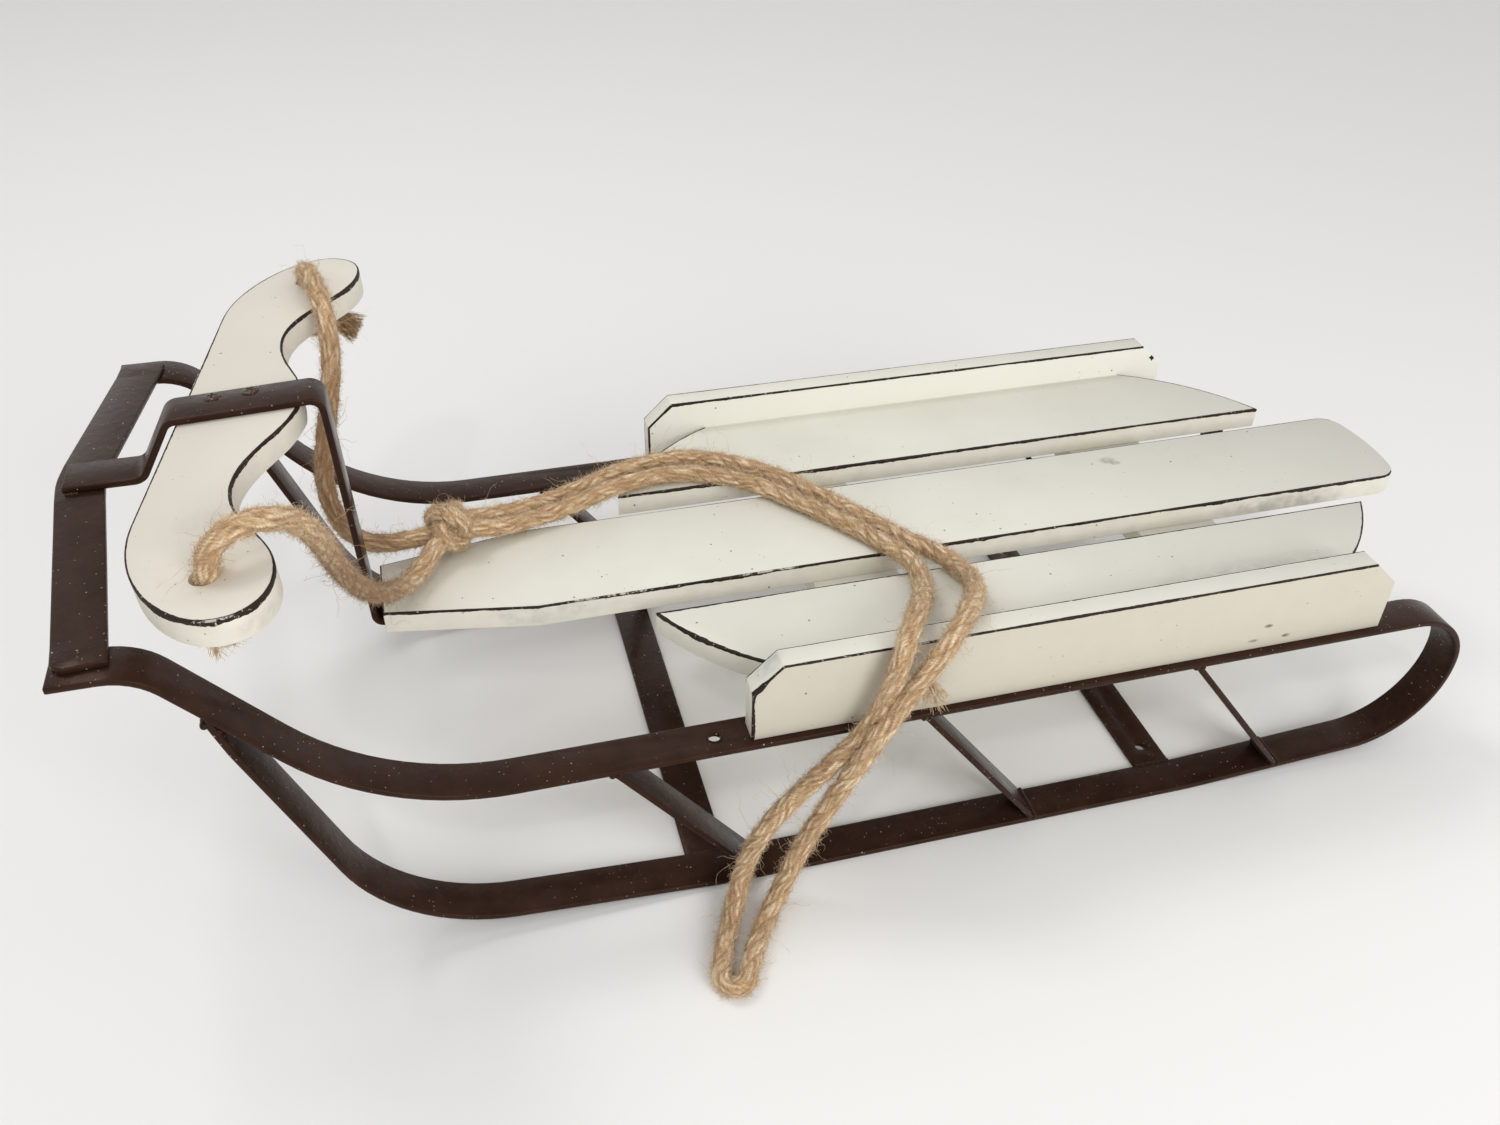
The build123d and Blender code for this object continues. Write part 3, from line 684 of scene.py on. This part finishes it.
# the solid piece that each cord stands for, and the knot and the frayed end that go with it
cordParts = {
    "leftLead": {"node": "left_lead", "knot": "leftStopKnot", "tuft": "leftStopTuft"},
    "rightLead": {"node": "right_lead", "knot": "rightStopKnot", "tuft": "rightStopTuft"},
    "towLoop": {"node": "tow_loop", "knot": "towKnot", "tuft": "loopTail"},
}
ropeRoutes = {
    "leftLead": [
        (0.2652, 0.1212, 0.2108), (0.2660, 0.1212, 0.2320), (0.2535, 0.1192, 0.2430),
        (0.2355, 0.1090, 0.2385), (0.2285, 0.0890, 0.2130), (0.2260, 0.0660, 0.1780),
        (0.2180, 0.0400, 0.1430), (0.2030, 0.0100, 0.1230), (0.1865, -0.0155, 0.1275),
        (0.1815, -0.0225, 0.1285),
    ],
    "rightLead": [
        (0.2308, -0.1184, 0.2123), (0.2318, -0.1184, 0.2345), (0.2270, -0.0955, 0.2375),
        (0.2225, -0.0770, 0.2310), (0.2225, -0.0670, 0.2100), (0.2280, -0.0600, 0.1860),
        (0.2350, -0.0500, 0.1650), (0.2365, -0.0410, 0.1480), (0.2310, -0.0290, 0.1345),
        (0.2175, -0.0215, 0.1270), (0.1910, -0.0228, 0.1278), (0.1840, -0.0245, 0.1288),
    ],
    "towLoop": [
        (0.1770, -0.0240, 0.1285), (0.1695, -0.0245, 0.1270), (0.1490, -0.0300, 0.1218),
        (0.1180, -0.0395, 0.1218), (0.0860, -0.0555, 0.1220), (0.0520, -0.0590, 0.1218),
        (0.0220, -0.0430, 0.1216), (-0.0020, -0.0140, 0.1216), (-0.0260, 0.0195, 0.1216),
        (-0.0415, 0.0495, 0.1218), (-0.0360, 0.0750, 0.1250), (-0.0250, 0.0970, 0.1360),
        (-0.0140, 0.1150, 0.1438), (-0.0040, 0.1300, 0.1390), (0.0005, 0.1323, 0.1200),
        (0.0090, 0.1315, 0.0970), (0.0310, 0.1315, 0.0740), (0.0530, 0.1320, 0.0520),
        (0.0660, 0.1325, 0.0290), (0.0715, 0.1370, 0.0115), (0.0790, 0.1500, 0.0049),
        (0.0870, 0.1665, 0.0049), (0.0923, 0.1832, 0.0049), (0.0812, 0.1876, 0.0049),
        (0.0735, 0.1705, 0.0049), (0.0615, 0.1520, 0.0049), (0.0490, 0.1385, 0.0120),
        (0.0410, 0.1365, 0.0310), (0.0310, 0.1375, 0.0540), (0.0180, 0.1390, 0.0800),
        (0.0050, 0.1390, 0.1040), (-0.0100, 0.1348, 0.1220), (-0.0260, 0.1298, 0.1395),
        (-0.0400, 0.1150, 0.1435), (-0.0530, 0.0950, 0.1335), (-0.0625, 0.0730, 0.1245),
        (-0.0590, 0.0505, 0.1220), (-0.0420, 0.0285, 0.1220), (-0.0180, -0.0110, 0.1220),
        (0.0090, -0.0490, 0.1220), (0.0450, -0.0740, 0.1220), (0.0830, -0.0695, 0.1220),
        (0.1140, -0.0530, 0.1220), (0.1425, -0.0423, 0.1220), (0.1690, -0.0345, 0.1270),
        (0.1770, -0.0310, 0.1290),
    ],
}


def smoothLine(name, points):
    # the points as the control points of a NURBS curve, read back as a fine line
    data = bpy.data.curves.new(name, "CURVE")
    data.dimensions = "3D"
    spline = data.splines.new("NURBS")
    spline.points.add(len(points) - 1)
    for control, point in zip(spline.points, points):
        control.co = (*point, 1.0)
    spline.order_u = 3
    spline.use_endpoint_u = True
    spline.resolution_u = rope["resolution"]
    carrier = bpy.data.objects.new(name, data)
    collection.objects.link(carrier)
    depsgraph = bpy.context.evaluated_depsgraph_get()
    fine = bpy.data.meshes.new_from_object(carrier.evaluated_get(depsgraph))
    line = [v.co.copy() for v in fine.vertices]
    bpy.data.objects.remove(carrier)
    return line


def lineLength(line):
    return sum((b - a).length for a, b in zip(line, line[1:]))


def overhandLine(knot):
    # an overhand knot drawn tight: the rope goes twice round its own line and crosses itself three times
    low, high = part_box(knot["node"])
    turn = turnFromUp(knot["axis"]) @ Matrix.Rotation(math.radians(knot["spin"]), 3, "Z")
    line = []
    for i in range(knot["steps"] + 1):
        t = 2 * math.pi * i / knot["steps"]
        out = knot["ring"] + knot["cross"] * math.cos(3 * t)
        local = Vector((out * math.cos(2 * t), out * math.sin(2 * t), knot["depth"] * math.sin(3 * t)))
        line.append((low + high) / 2 + turn @ local)
    return line


knots = {
    "towKnot": {"node": "tow_knot", "ring": 6.3 * mm, "cross": 2.8 * mm, "depth": 5.8 * mm,
                "axis": (-0.95, -0.22, 0.12), "spin": 25.0, "steps": 120, "squeeze": 0.98},
    "leftStopKnot": {"node": "left_stop_knot", "ring": 4.4 * mm, "cross": 1.9 * mm, "depth": 4.2 * mm,
                     "axis": (0.04, 0.1, 1.0), "spin": 50.0, "steps": 90, "squeeze": 0.74},
    "rightStopKnot": {"node": "right_stop_knot", "ring": 4.4 * mm, "cross": 1.9 * mm, "depth": 4.2 * mm,
                      "axis": (0.04, -0.1, 1.0), "spin": 10.0, "steps": 90, "squeeze": 0.74},
}
# brushes of loose fibre where the rope ends: root, direction and radius of the cut end
tufts = {
    "leftStopTuft": {"root": (0.2705, 0.1215, 0.1965), "towards": (-0.25, 0.0, -0.97), "radius": 1.5 * mm,
                     "fibre": "fibre", "shortest": 0.005, "longest": 0.011},
    "rightStopTuft": {"root": (0.2225, -0.1180, 0.2055), "towards": (-0.80, 0.10, -0.52), "radius": 4.8 * mm,
                      "fibre": "shadedCutFibre", "shortest": 0.011, "longest": 0.0175},
    "loopTail": {"root": (-0.0165, 0.1300, 0.1205), "towards": (-0.34, -0.10, -0.93), "radius": 2.4 * mm,
                 "fibre": "fibre", "shortest": 0.014, "longest": 0.024},
}
# what all brushes share; each takes its own shortest and longest fibre
tuftSizes = {
    "perSquareMetre": 7.0e6, "shortest": 0.006, "longest": 0.013, "rarity": 0.5, "thickness": 0.00019,
    "lean": 0.28, "spread": 3.1, "curl": 0.004, "curlScale": 260.0, "bends": 4, "seed": 21,
}


def cutEnd(name, tuft):
    # the small disc that a brush of fibre grows from
    turn = turnFromUp(tuft["towards"])
    angles = [i * math.pi / 6 for i in range(12)]
    corners = [turn @ (Vector((math.cos(a), math.sin(a), 0)) * tuft["radius"]) for a in angles]
    return meshFrom(name, [Vector(tuft["root"]) + corner for corner in corners], [tuple(range(len(corners)))])


def addHair(name, kind, tree, skin, crowding=1.0):
    # one layer of fibre, grown from the skin of a cord or a knot
    sizes = {**rope[kind], "perSquareMetre": crowding * rope[kind]["perSquareMetre"]}
    hairName = name + kind.title()
    return addPiece(hairName, growMesh(hairName, tree, sizes, skin))


def makeRope(materials):
    laid = ropeTree(rope["strands"], materials["jute"])
    fluffed = fibreTree(rope["fuzz"], materials["fibre"])
    hairTrees = {"nap": fibreTree(rope["nap"], materials["fibre"]), "fuzz": fluffed, "strays": fluffed}
    brushTrees = {"fibre": fluffed, "shadedCutFibre": fibreTree(tuftSizes, materials["shadedCutFibre"])}
    knotPieces, cords, brushes = {}, {}, {}
    for name, knot in knots.items():
        sizes = dict(rope["strands"])
        for key in ("strandOffset", "strandRadius", "grooveDepth"):
            sizes[key] *= knot["squeeze"]
        mesh = growMesh(name, laid, sizes, lineMesh(name, overhandLine(knot)))
        knotPieces[name] = [addPiece(name, mesh, [knot["node"]])]
        for kind in ("nap", "fuzz"):
            knotPieces[name].append(addHair(name, kind, hairTrees[kind], mesh, rope["knotCrowding"]))
    for name, points in ropeRoutes.items():
        line = smoothLine(name, points)
        mesh = growMesh(name, laid, rope["strands"], lineMesh(name, line))
        strands = addPiece(name, mesh, [cordParts[name]["node"]])
        cords[name] = strands, line, [addHair(name, kind, tree, mesh) for kind, tree in hairTrees.items()]
        print("rope", name, "length", round(lineLength(line), 4), "m,", len(mesh.polygons), "faces")
    for name, tuft in tufts.items():
        sizes = {**tuftSizes, "shortest": tuft["shortest"], "longest": tuft["longest"]}
        hair = growMesh(name, brushTrees[tuft["fibre"]], sizes, cutEnd(name, tuft))
        brushes[name] = addPiece(name, hair)


# Boards and straps: copies of the solid pieces with worn-round edges

barFacing = (0.0436, 0, 0.999)
samePoint = 1e-6
sameEnd = 1e-5
boards = [
    "steering_bar", "centre_slat", "left_slat", "right_slat", "left_side_board", "right_side_board",
    "front_bearer", "rear_bearer",
]
straps = [
    "left_runner_loop", "right_runner_loop", "front_bumper", "hoop_strap",
    "front_cross_strap", "rear_cross_strap",
] + [f"{side}_strut_{place}" for side in ("left", "right") for place in ("front", "middle", "rear")]
# rounding of the worn edges, and the angles in degrees that count as flat, as an edge and as sharp
softening = {"board": 0.0005, "strap": 0.0007, "segments": 2, "flat": 0.05, "edge": 28, "sharp": 35}


def rimLoops(node, towards):
    # the outlines of a board's face: its outer rim first, then its holes
    shape = bmesh.new()
    shape.from_mesh(cadNodes[node].data)
    bmesh.ops.remove_doubles(shape, verts=shape.verts, dist=samePoint)
    shape.normal_update()
    facing = [f for f in shape.faces if f.normal.dot(towards) > 0.999]
    level = max(f.calc_center_median().dot(towards) for f in facing)
    face = {f for f in facing if f.calc_center_median().dot(towards) > level - 1e-4}
    following = {}
    for f in face:
        for corner in f.loops:
            if not any(other in face for other in corner.edge.link_faces if other is not f):
                following[tuple(corner.vert.co)] = tuple(corner.link_loop_next.vert.co)
    shape.free()
    rims = []
    while following:
        point, rim = next(iter(following)), []
        while point in following:
            rim.append(Vector(point))
            point = following.pop(point)
        rims.append(rim)
    return sorted(rims, key=lineLength, reverse=True)


def barBlank(shape):
    # the steering bar's outline and rope holes swept straight down, so that its curved side shades evenly
    towards = Vector(barFacing).normalized()
    heights = [v.co.dot(towards) for v in cadNodes["steering_bar"].data.vertices]
    down = towards * (min(heights) - max(heights))
    rings = ([], [])
    for loop in rimLoops("steering_bar", towards):
        top = [shape.verts.new(point) for point in loop]
        bottom = [shape.verts.new(point + down) for point in loop]
        for i in range(len(loop)):
            side = shape.faces.new((top[i - 1], bottom[i - 1], bottom[i], top[i]))
            rings[0].append(side.edges[3])
            rings[1].append(side.edges[1])
    for ring in rings:
        bmesh.ops.triangle_fill(shape, use_beauty=True, use_dissolve=False, edges=ring)
    bmesh.ops.recalc_face_normals(shape, faces=shape.faces)


def softCopy(node, material, rounding):
    # a copy of a solid piece with its edges worn round
    name = camelName(node)
    mesh = cadNodes[node].data.copy()
    mesh.name = name
    shape = bmesh.new()
    if node == "steering_bar":
        barBlank(shape)
    else:
        shape.from_mesh(mesh)
        bmesh.ops.remove_doubles(shape, verts=shape.verts, dist=samePoint)
    flat, edge, sharp = (math.radians(softening[key]) for key in ("flat", "edge", "sharp"))
    bmesh.ops.dissolve_limit(shape, angle_limit=flat, verts=shape.verts, edges=shape.edges)
    edges = [e for e in shape.edges if len(e.link_faces) == 2 and e.calc_face_angle(0) > edge]
    bmesh.ops.bevel(shape, geom=edges, offset=rounding, segments=softening["segments"], profile=0.5,
                    affect="EDGES", clamp_overlap=False)
    bmesh.ops.triangulate(shape, faces=[f for f in shape.faces if len(f.verts) > 4])
    shape.to_mesh(mesh)
    shape.free()
    mesh.materials.clear()
    mesh.materials.append(material)
    for face in mesh.polygons:
        face.use_smooth = True
    mesh.set_sharp_from_angle(angle=sharp)
    addPiece(name, mesh, [node])


# Pen lines, drawn over the boards' edges

penSizes = {"step": 0.0009, "raggedness": 420.0, "faceWidth": 0.0004, "sideWidth": 0.0010}
penHand = {
    # widths of the hand's slow and quick swings and their shares of the line's weight, with its least weight
    "slowSwing": 0.034, "slowStart": (3.1, 0, 0), "slowShare": 0.6, "quickSwing": 0.007, "quickShare": 0.5,
    "weight": 0.95, "leastWeight": 0.12,
    # length of one dash, and how far the ink stands off the paint and is tucked under at its sides
    "dash": 0.003, "lift": 0.00004, "tuck": 0.00003,
}
railTop = 0.0925
boardFoot = railTop + 0.0008
slatTop = 0.1172
rearClip = -0.2532
penLines = {
    # direction of the face, widths on the face and on the side below it, where it is drawn, heavier places
    "steeringBarLine": {
        "node": "steering_bar", "towards": barFacing, "faceWidth": 0.0003, "sideWidth": 0.0012,
        "drawn": lambda p: True,
        "heavier": [((0.262, 0.130, 0.225), 0.030, 1.6), ((0.262, -0.130, 0.225), 0.030, 1.4),
                    ((0.288, -0.020, 0.224), 0.060, 1.5), ((0.278, 0.060, 0.224), 0.050, 1.3)]},
    "centreSlatLine": {
        "node": "centre_slat", "towards": (0, 0, 1), "faceWidth": 0.0002, "sideWidth": 0.0010,
        "drawn": lambda p: p.x > -0.3 or abs(p.y) > 0.0285, "heavier": [((0.0, 0.032, 0.1165), 0.09, 1.25)]},
    "leftSlatLine": {
        "node": "left_slat", "towards": (0, 0, 1), "faceWidth": 0.0005, "sideWidth": 0.0008,
        "drawn": lambda p: abs(p.y) < 0.1092,
        "heavier": [((0.070, 0.075, 0.1165), 0.050, 1.7), ((-0.10, 0.0504, 0.1165), 0.05, 0.6)]},
    "rightSlatLine": {
        "node": "right_slat", "towards": (0, 0, 1), "faceWidth": 0.0004, "sideWidth": 0.0009,
        "drawn": lambda p: abs(p.y) < 0.1092, "heavier": [((0.0, -0.0504, 0.1165), 0.10, 1.5)]},
    "leftBoardOuterLine": {
        "node": "left_side_board", "towards": (0, 1, 0), "faceWidth": 0.0005, "sideWidth": 0.0004,
        "drawn": lambda p: p.z > boardFoot and p.x > rearClip,
        "heavier": [((0.062, 0.1215, 0.105), 0.020, 1.7), ((0.0595, 0.1215, 0.1225), 0.007, 3.0)]},
    "leftBoardInnerLine": {
        "node": "left_side_board", "towards": (0, -1, 0), "faceWidth": 0.0003, "sideWidth": 0.0003,
        "drawn": lambda p: p.z > slatTop and p.x > rearClip,
        "heavier": [((0.055, 0.1095, 0.125), 0.012, 1.6)]},
    "rightBoardOuterLine": {
        "node": "right_side_board", "towards": (0, -1, 0), "faceWidth": 0.0005, "sideWidth": 0.0004,
        "drawn": lambda p: p.z > boardFoot and p.x > rearClip,
        "heavier": [((0.062, -0.1215, 0.105), 0.020, 1.5)]},
    "rightBoardInnerLine": {
        "node": "right_side_board", "towards": (0, 1, 0), "faceWidth": 0.0006, "sideWidth": 0.0003,
        "drawn": lambda p: p.z > slatTop and p.x > rearClip or p.x > 0.0615 or abs(p.x + 0.2608) < 0.0013,
        "heavier": [((0.045, -0.1095, 0.134), 0.012, 1.4), ((-0.2608, -0.1095, 0.126), 0.005, 2.2)]},
}


def rimRuns(node, towards, drawn):
    # the outer rim of a board's face, cut into the runs of points that the pen follows
    rim = rimLoops(node, towards)[0]
    runs, run = [], []
    for start, end in zip(rim, rim[1:] + rim[:1]):
        parts = max(1, round((end - start).length / penHand["dash"]))
        for i in range(parts):
            a, b = start.lerp(end, i / parts), start.lerp(end, (i + 1) / parts)
            if drawn((a + b) / 2):
                run = run or [a]
                run.append(b)
            elif run:
                runs.append(run)
                run = []
    if run:
        runs.append(run)
    if len(runs) > 1 and (runs[0][0] - runs[-1][-1]).length < sameEnd:
        runs[0] = runs.pop() + runs[0][1:]
    return runs


def penSection():
    # what every line is swept with: its rows on the face, the one on the corner, and those on the side
    rounding, lift, tuck = softening["board"], penHand["lift"], penHand["tuck"]
    corner = (rounding + lift) * math.sqrt(0.5) - rounding
    section = lineMesh("penSection", [
        (-rounding, tuck, 0), (-rounding, -lift, 0), (-rounding, -lift, 0), (corner, -corner, 0),
        (lift, rounding, 0), (lift, rounding, 0), (-tuck, rounding, 0)])
    for name, values in (("onFace", (1, 0.9, 0, 0, 0, 0, 0)), ("onSide", (0, 0, 0, 0, 0, 0.9, 1))):
        section.attributes.new(name, "FLOAT", "POINT").data.foreach_set("value", values)
    holder = bpy.data.objects.new("penSection", section)
    collection.objects.link(holder)
    return holder


def penWeight(point, heavier):
    slow = noise.noise(point / penHand["slowSwing"] + Vector(penHand["slowStart"]))
    quick = noise.noise(point / penHand["quickSwing"])
    weight = penHand["weight"] + penHand["slowShare"] * slow + penHand["quickShare"] * quick
    for middle, reach, factor in heavier:
        near = max(0.0, 1 - (point - Vector(middle)).length / reach)
        weight *= 1 + (factor - 1) * min(1.0, 2 * near)
    return max(penHand["leastWeight"], weight)


def makePenLines(materials):
    section = penSection()
    pen = penTree(penSizes, materials["ink"], section)
    for name, line in penLines.items():
        towards = Vector(line["towards"]).normalized()
        turn = towards.rotation_difference(Vector((0, 0, 1))).to_matrix()
        points, edges, weights = [], [], []
        for run in rimRuns(line["node"], towards, line["drawn"]):
            closed = (run[0] - run[-1]).length < sameEnd
            first = len(points)
            for i, point in enumerate(run[:-1] if closed else run):
                points.append(turn @ point)
                weights.append(penWeight(point, line["heavier"]))
                if i:
                    edges.append((len(points) - 2, len(points) - 1))
            if closed:
                edges.append((len(points) - 1, first))
        source = meshFrom(name, points, edges=edges)
        source.attributes.new("penWeight", "FLOAT", "POINT").data.foreach_set("value", weights)
        sizes = {**penSizes, "faceWidth": line["faceWidth"], "sideWidth": line["sideWidth"]}
        mesh = growMesh(name, pen, sizes, source)
        mesh.transform(turn.inverted().to_4x4())
        addPiece(name, mesh)
    bpy.data.objects.remove(section)
    print("pen lines done:", len(penLines))


# Welds, screws and hole rims on the frame

weldSizes = {"pitch": 0.0010, "radius": 0.0016, "seed": 3}
filletSizes = {"pitch": 0.0009, "radius": 0.0012, "seed": 12}
crossWeldSizes = {"pitch": 0.0010, "radius": 0.0011, "seed": 8}
weldPlaces = {
    "strutFootRun": 0.0037, "strutInset": 0.0008, "inset": 0.001, "crossWeldSink": 0.0003,
    "loopSeams": ((0.2812, 0.1572), (0.2768, 0.1530)),
    "hoopFootX": (0.3300, 0.3345), "hoopFootY": 0.0098, "hoopFootZ": 0.1975,
}
railMiddle = 0.115
strapThickness = 0.003
screwSizes = {"radius": 0.0038, "flatness": 0.26, "seed": 5}
# where each screw's head is and which way it faces: on the hoop, under its foot, the rails and the battens
screwPlaces = [
    ((0.2540, -0.0054, 0.2285), (0.04, 0, 1)), ((0.2696, -0.0051, 0.2278), (0.04, 0, 1)),
    ((0.1985, 0.0050, 0.1015), (0, 0, -1)), ((0.2085, -0.0050, 0.1015), (0, 0, -1)),
] + [
    ((x, side * railMiddle, railTop - strapThickness), (0, 0, -1))
    for x in (0.046, -0.060, -0.130, -0.236) for side in (1, -1)
] + [
    ((x + dx, y, railTop), (0, 0, -1))
    for x in (-0.017, -0.2005) for dx in (-0.012, 0.012) for y in (0.078, 0.016, -0.016, -0.078)
]
rimSizes = {"radius": 0.0033, "thickness": 0.00045}
rimPlaces = [(0.0779, side * railMiddle, railTop) for side in (1, -1)]


def weldLines():
    # across the head and the foot of each strut, and across both seams of each runner loop
    lines = []
    run, inset = weldPlaces["strutFootRun"], weldPlaces["strutInset"]
    for side in ("left", "right"):
        for place in ("front", "middle", "rear"):
            low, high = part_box(f"{side}_strut_{place}")
            for x, z in ((high.x, high.z), (high.x - run, high.z), (low.x, low.z), (low.x + run, low.z)):
                lines.append([(x, low.y + inset, z), (x, high.y - inset, z)])
        low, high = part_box(f"{side}_runner_loop")
        for x, z in weldPlaces["loopSeams"]:
            lines.append([(x, low.y + weldPlaces["inset"], z), (x, high.y - weldPlaces["inset"], z)])
    return lines


def filletLines():
    # short runs of weld where the hoop stands on the bumper
    y, z = weldPlaces["hoopFootY"], weldPlaces["hoopFootZ"]
    return [[(x, side * y, z) for x in weldPlaces["hoopFootX"]] for side in (1, -1)]


def crossWeldLines():
    lines = []
    for node in ("front_cross_strap", "rear_cross_strap"):
        low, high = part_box(node)
        z = high.z - weldPlaces["crossWeldSink"]
        for y in (low.y, high.y):
            lines.append([(low.x + weldPlaces["inset"], y, z), (high.x - weldPlaces["inset"], y, z)])
    return lines


def linesMesh(name, lines):
    points = [point for line in lines for point in line]
    return meshFrom(name, points, edges=[(i, i + 1) for i in range(0, len(points), 2)])


def headPoints(name):
    heads = meshFrom(name, [place for place, facing in screwPlaces])
    heads.attributes.new("facing", "FLOAT_VECTOR", "POINT").data.foreach_set(
        "vector", [value for place, facing in screwPlaces for value in facing])
    return heads


def makeFittings(materials):
    enamel, thickEnamel = materials["enamel"], materials["thickEnamel"]
    for name, makeTree, sizes, material, source in (
        ("weldBeads", beadTree, weldSizes, enamel, linesMesh("weldBeads", weldLines())),
        ("filletWelds", beadTree, filletSizes, thickEnamel, linesMesh("filletWelds", filletLines())),
        ("crossWeldBeads", beadTree, crossWeldSizes, enamel, linesMesh("crossWeldBeads", crossWeldLines())),
        ("screwHeads", headTree, screwSizes, thickEnamel, headPoints("screwHeads")),
        ("holeRims", rimTree, rimSizes, enamel, meshFrom("holeRims", rimPlaces)),
    ):
        addPiece(name, growMesh(name, makeTree(sizes, material), sizes, source))
    print("welds, screws and rims done")


# Floor, world and lamps

stage = {
    "floorReach": 6.0, "roomLight": 0.62, "roomSeen": 1.0, "aim": (0, 0, 0.1),
    # place, width and power of each lamp
    "lamps": {
        "keyLamp": ((0.7, -0.6, 1.7), 0.6, 6.5),
        "fillLamp": ((-0.6, 1.7, 1.0), 1.1, 17.0),
        "sparkLamp": ((0.5, 1.0, 1.4), 0.09, 1.8),
    },
}


def setStage(materials):
    reach = stage["floorReach"]
    corners = [(-reach, -reach, 0), (reach, -reach, 0), (reach, reach, 0), (-reach, reach, 0)]
    floor = bpy.data.objects.new("floor", meshFrom("floor", corners, [(0, 1, 2, 3)]))
    floor.data.materials.append(materials["floor"])
    collection.objects.link(floor)
    world = bpy.data.worlds.new("softRoom")
    bpy.context.scene.world = world
    world.use_nodes = True
    tree = world.node_tree
    tree.nodes.clear()
    ray = addNode(tree, "ShaderNodeLightPath").outputs
    seen = larger(tree, ray["Is Camera Ray"], ray["Is Glossy Ray"])
    seen = larger(tree, seen, ray["Is Transmission Ray"])
    strength = limits(tree, seen, 0.0, 1.0, stage["roomLight"], stage["roomSeen"])
    sky = result(tree, "ShaderNodeBackground", {"Color": "#ffffff", "Strength": strength})
    addNode(tree, "ShaderNodeOutputWorld", {"Surface": sky})
    for name, (place, size, power) in stage["lamps"].items():
        lamp = bpy.data.lights.new(name, "AREA")
        lamp.shape = "DISK"
        lamp.size = size
        lamp.energy = power
        holder = bpy.data.objects.new(name, lamp)
        collection.objects.link(holder)
        holder.location = place
        holder.rotation_euler = (Vector(stage["aim"]) - Vector(place)).to_track_quat("-Z", "Y").to_euler()


# Making

bpy.context.scene.view_settings.view_transform = "Standard"
materials = {
    "paint": makeChalkPaint(),
    "ink": makePenInk(),
    "enamel": makeBrownEnamel("brownEnamelOnSteel", 0.16, 0.36, 0.00022),
    "thickEnamel": makeBrownEnamel("thickBrownEnamel", 0.5, 0.20, 0.0006),
    "jute": makeJute(),
    "fibre": makeJuteFibre("looseBastFibre", juteTones["loose"]),
    "shadedCutFibre": makeJuteFibre("shadedCutBastFibre", juteTones["cut"]),
    "floor": makeFloor(),
}
setCamera()
makeRope(materials)
for nodeName in boards:
    softCopy(nodeName, materials["paint"], softening["board"])
for nodeName in straps:
    softCopy(nodeName, materials["enamel"], softening["strap"])
print("boards and straps done")
makePenLines(materials)
makeFittings(materials)
setStage(materials)
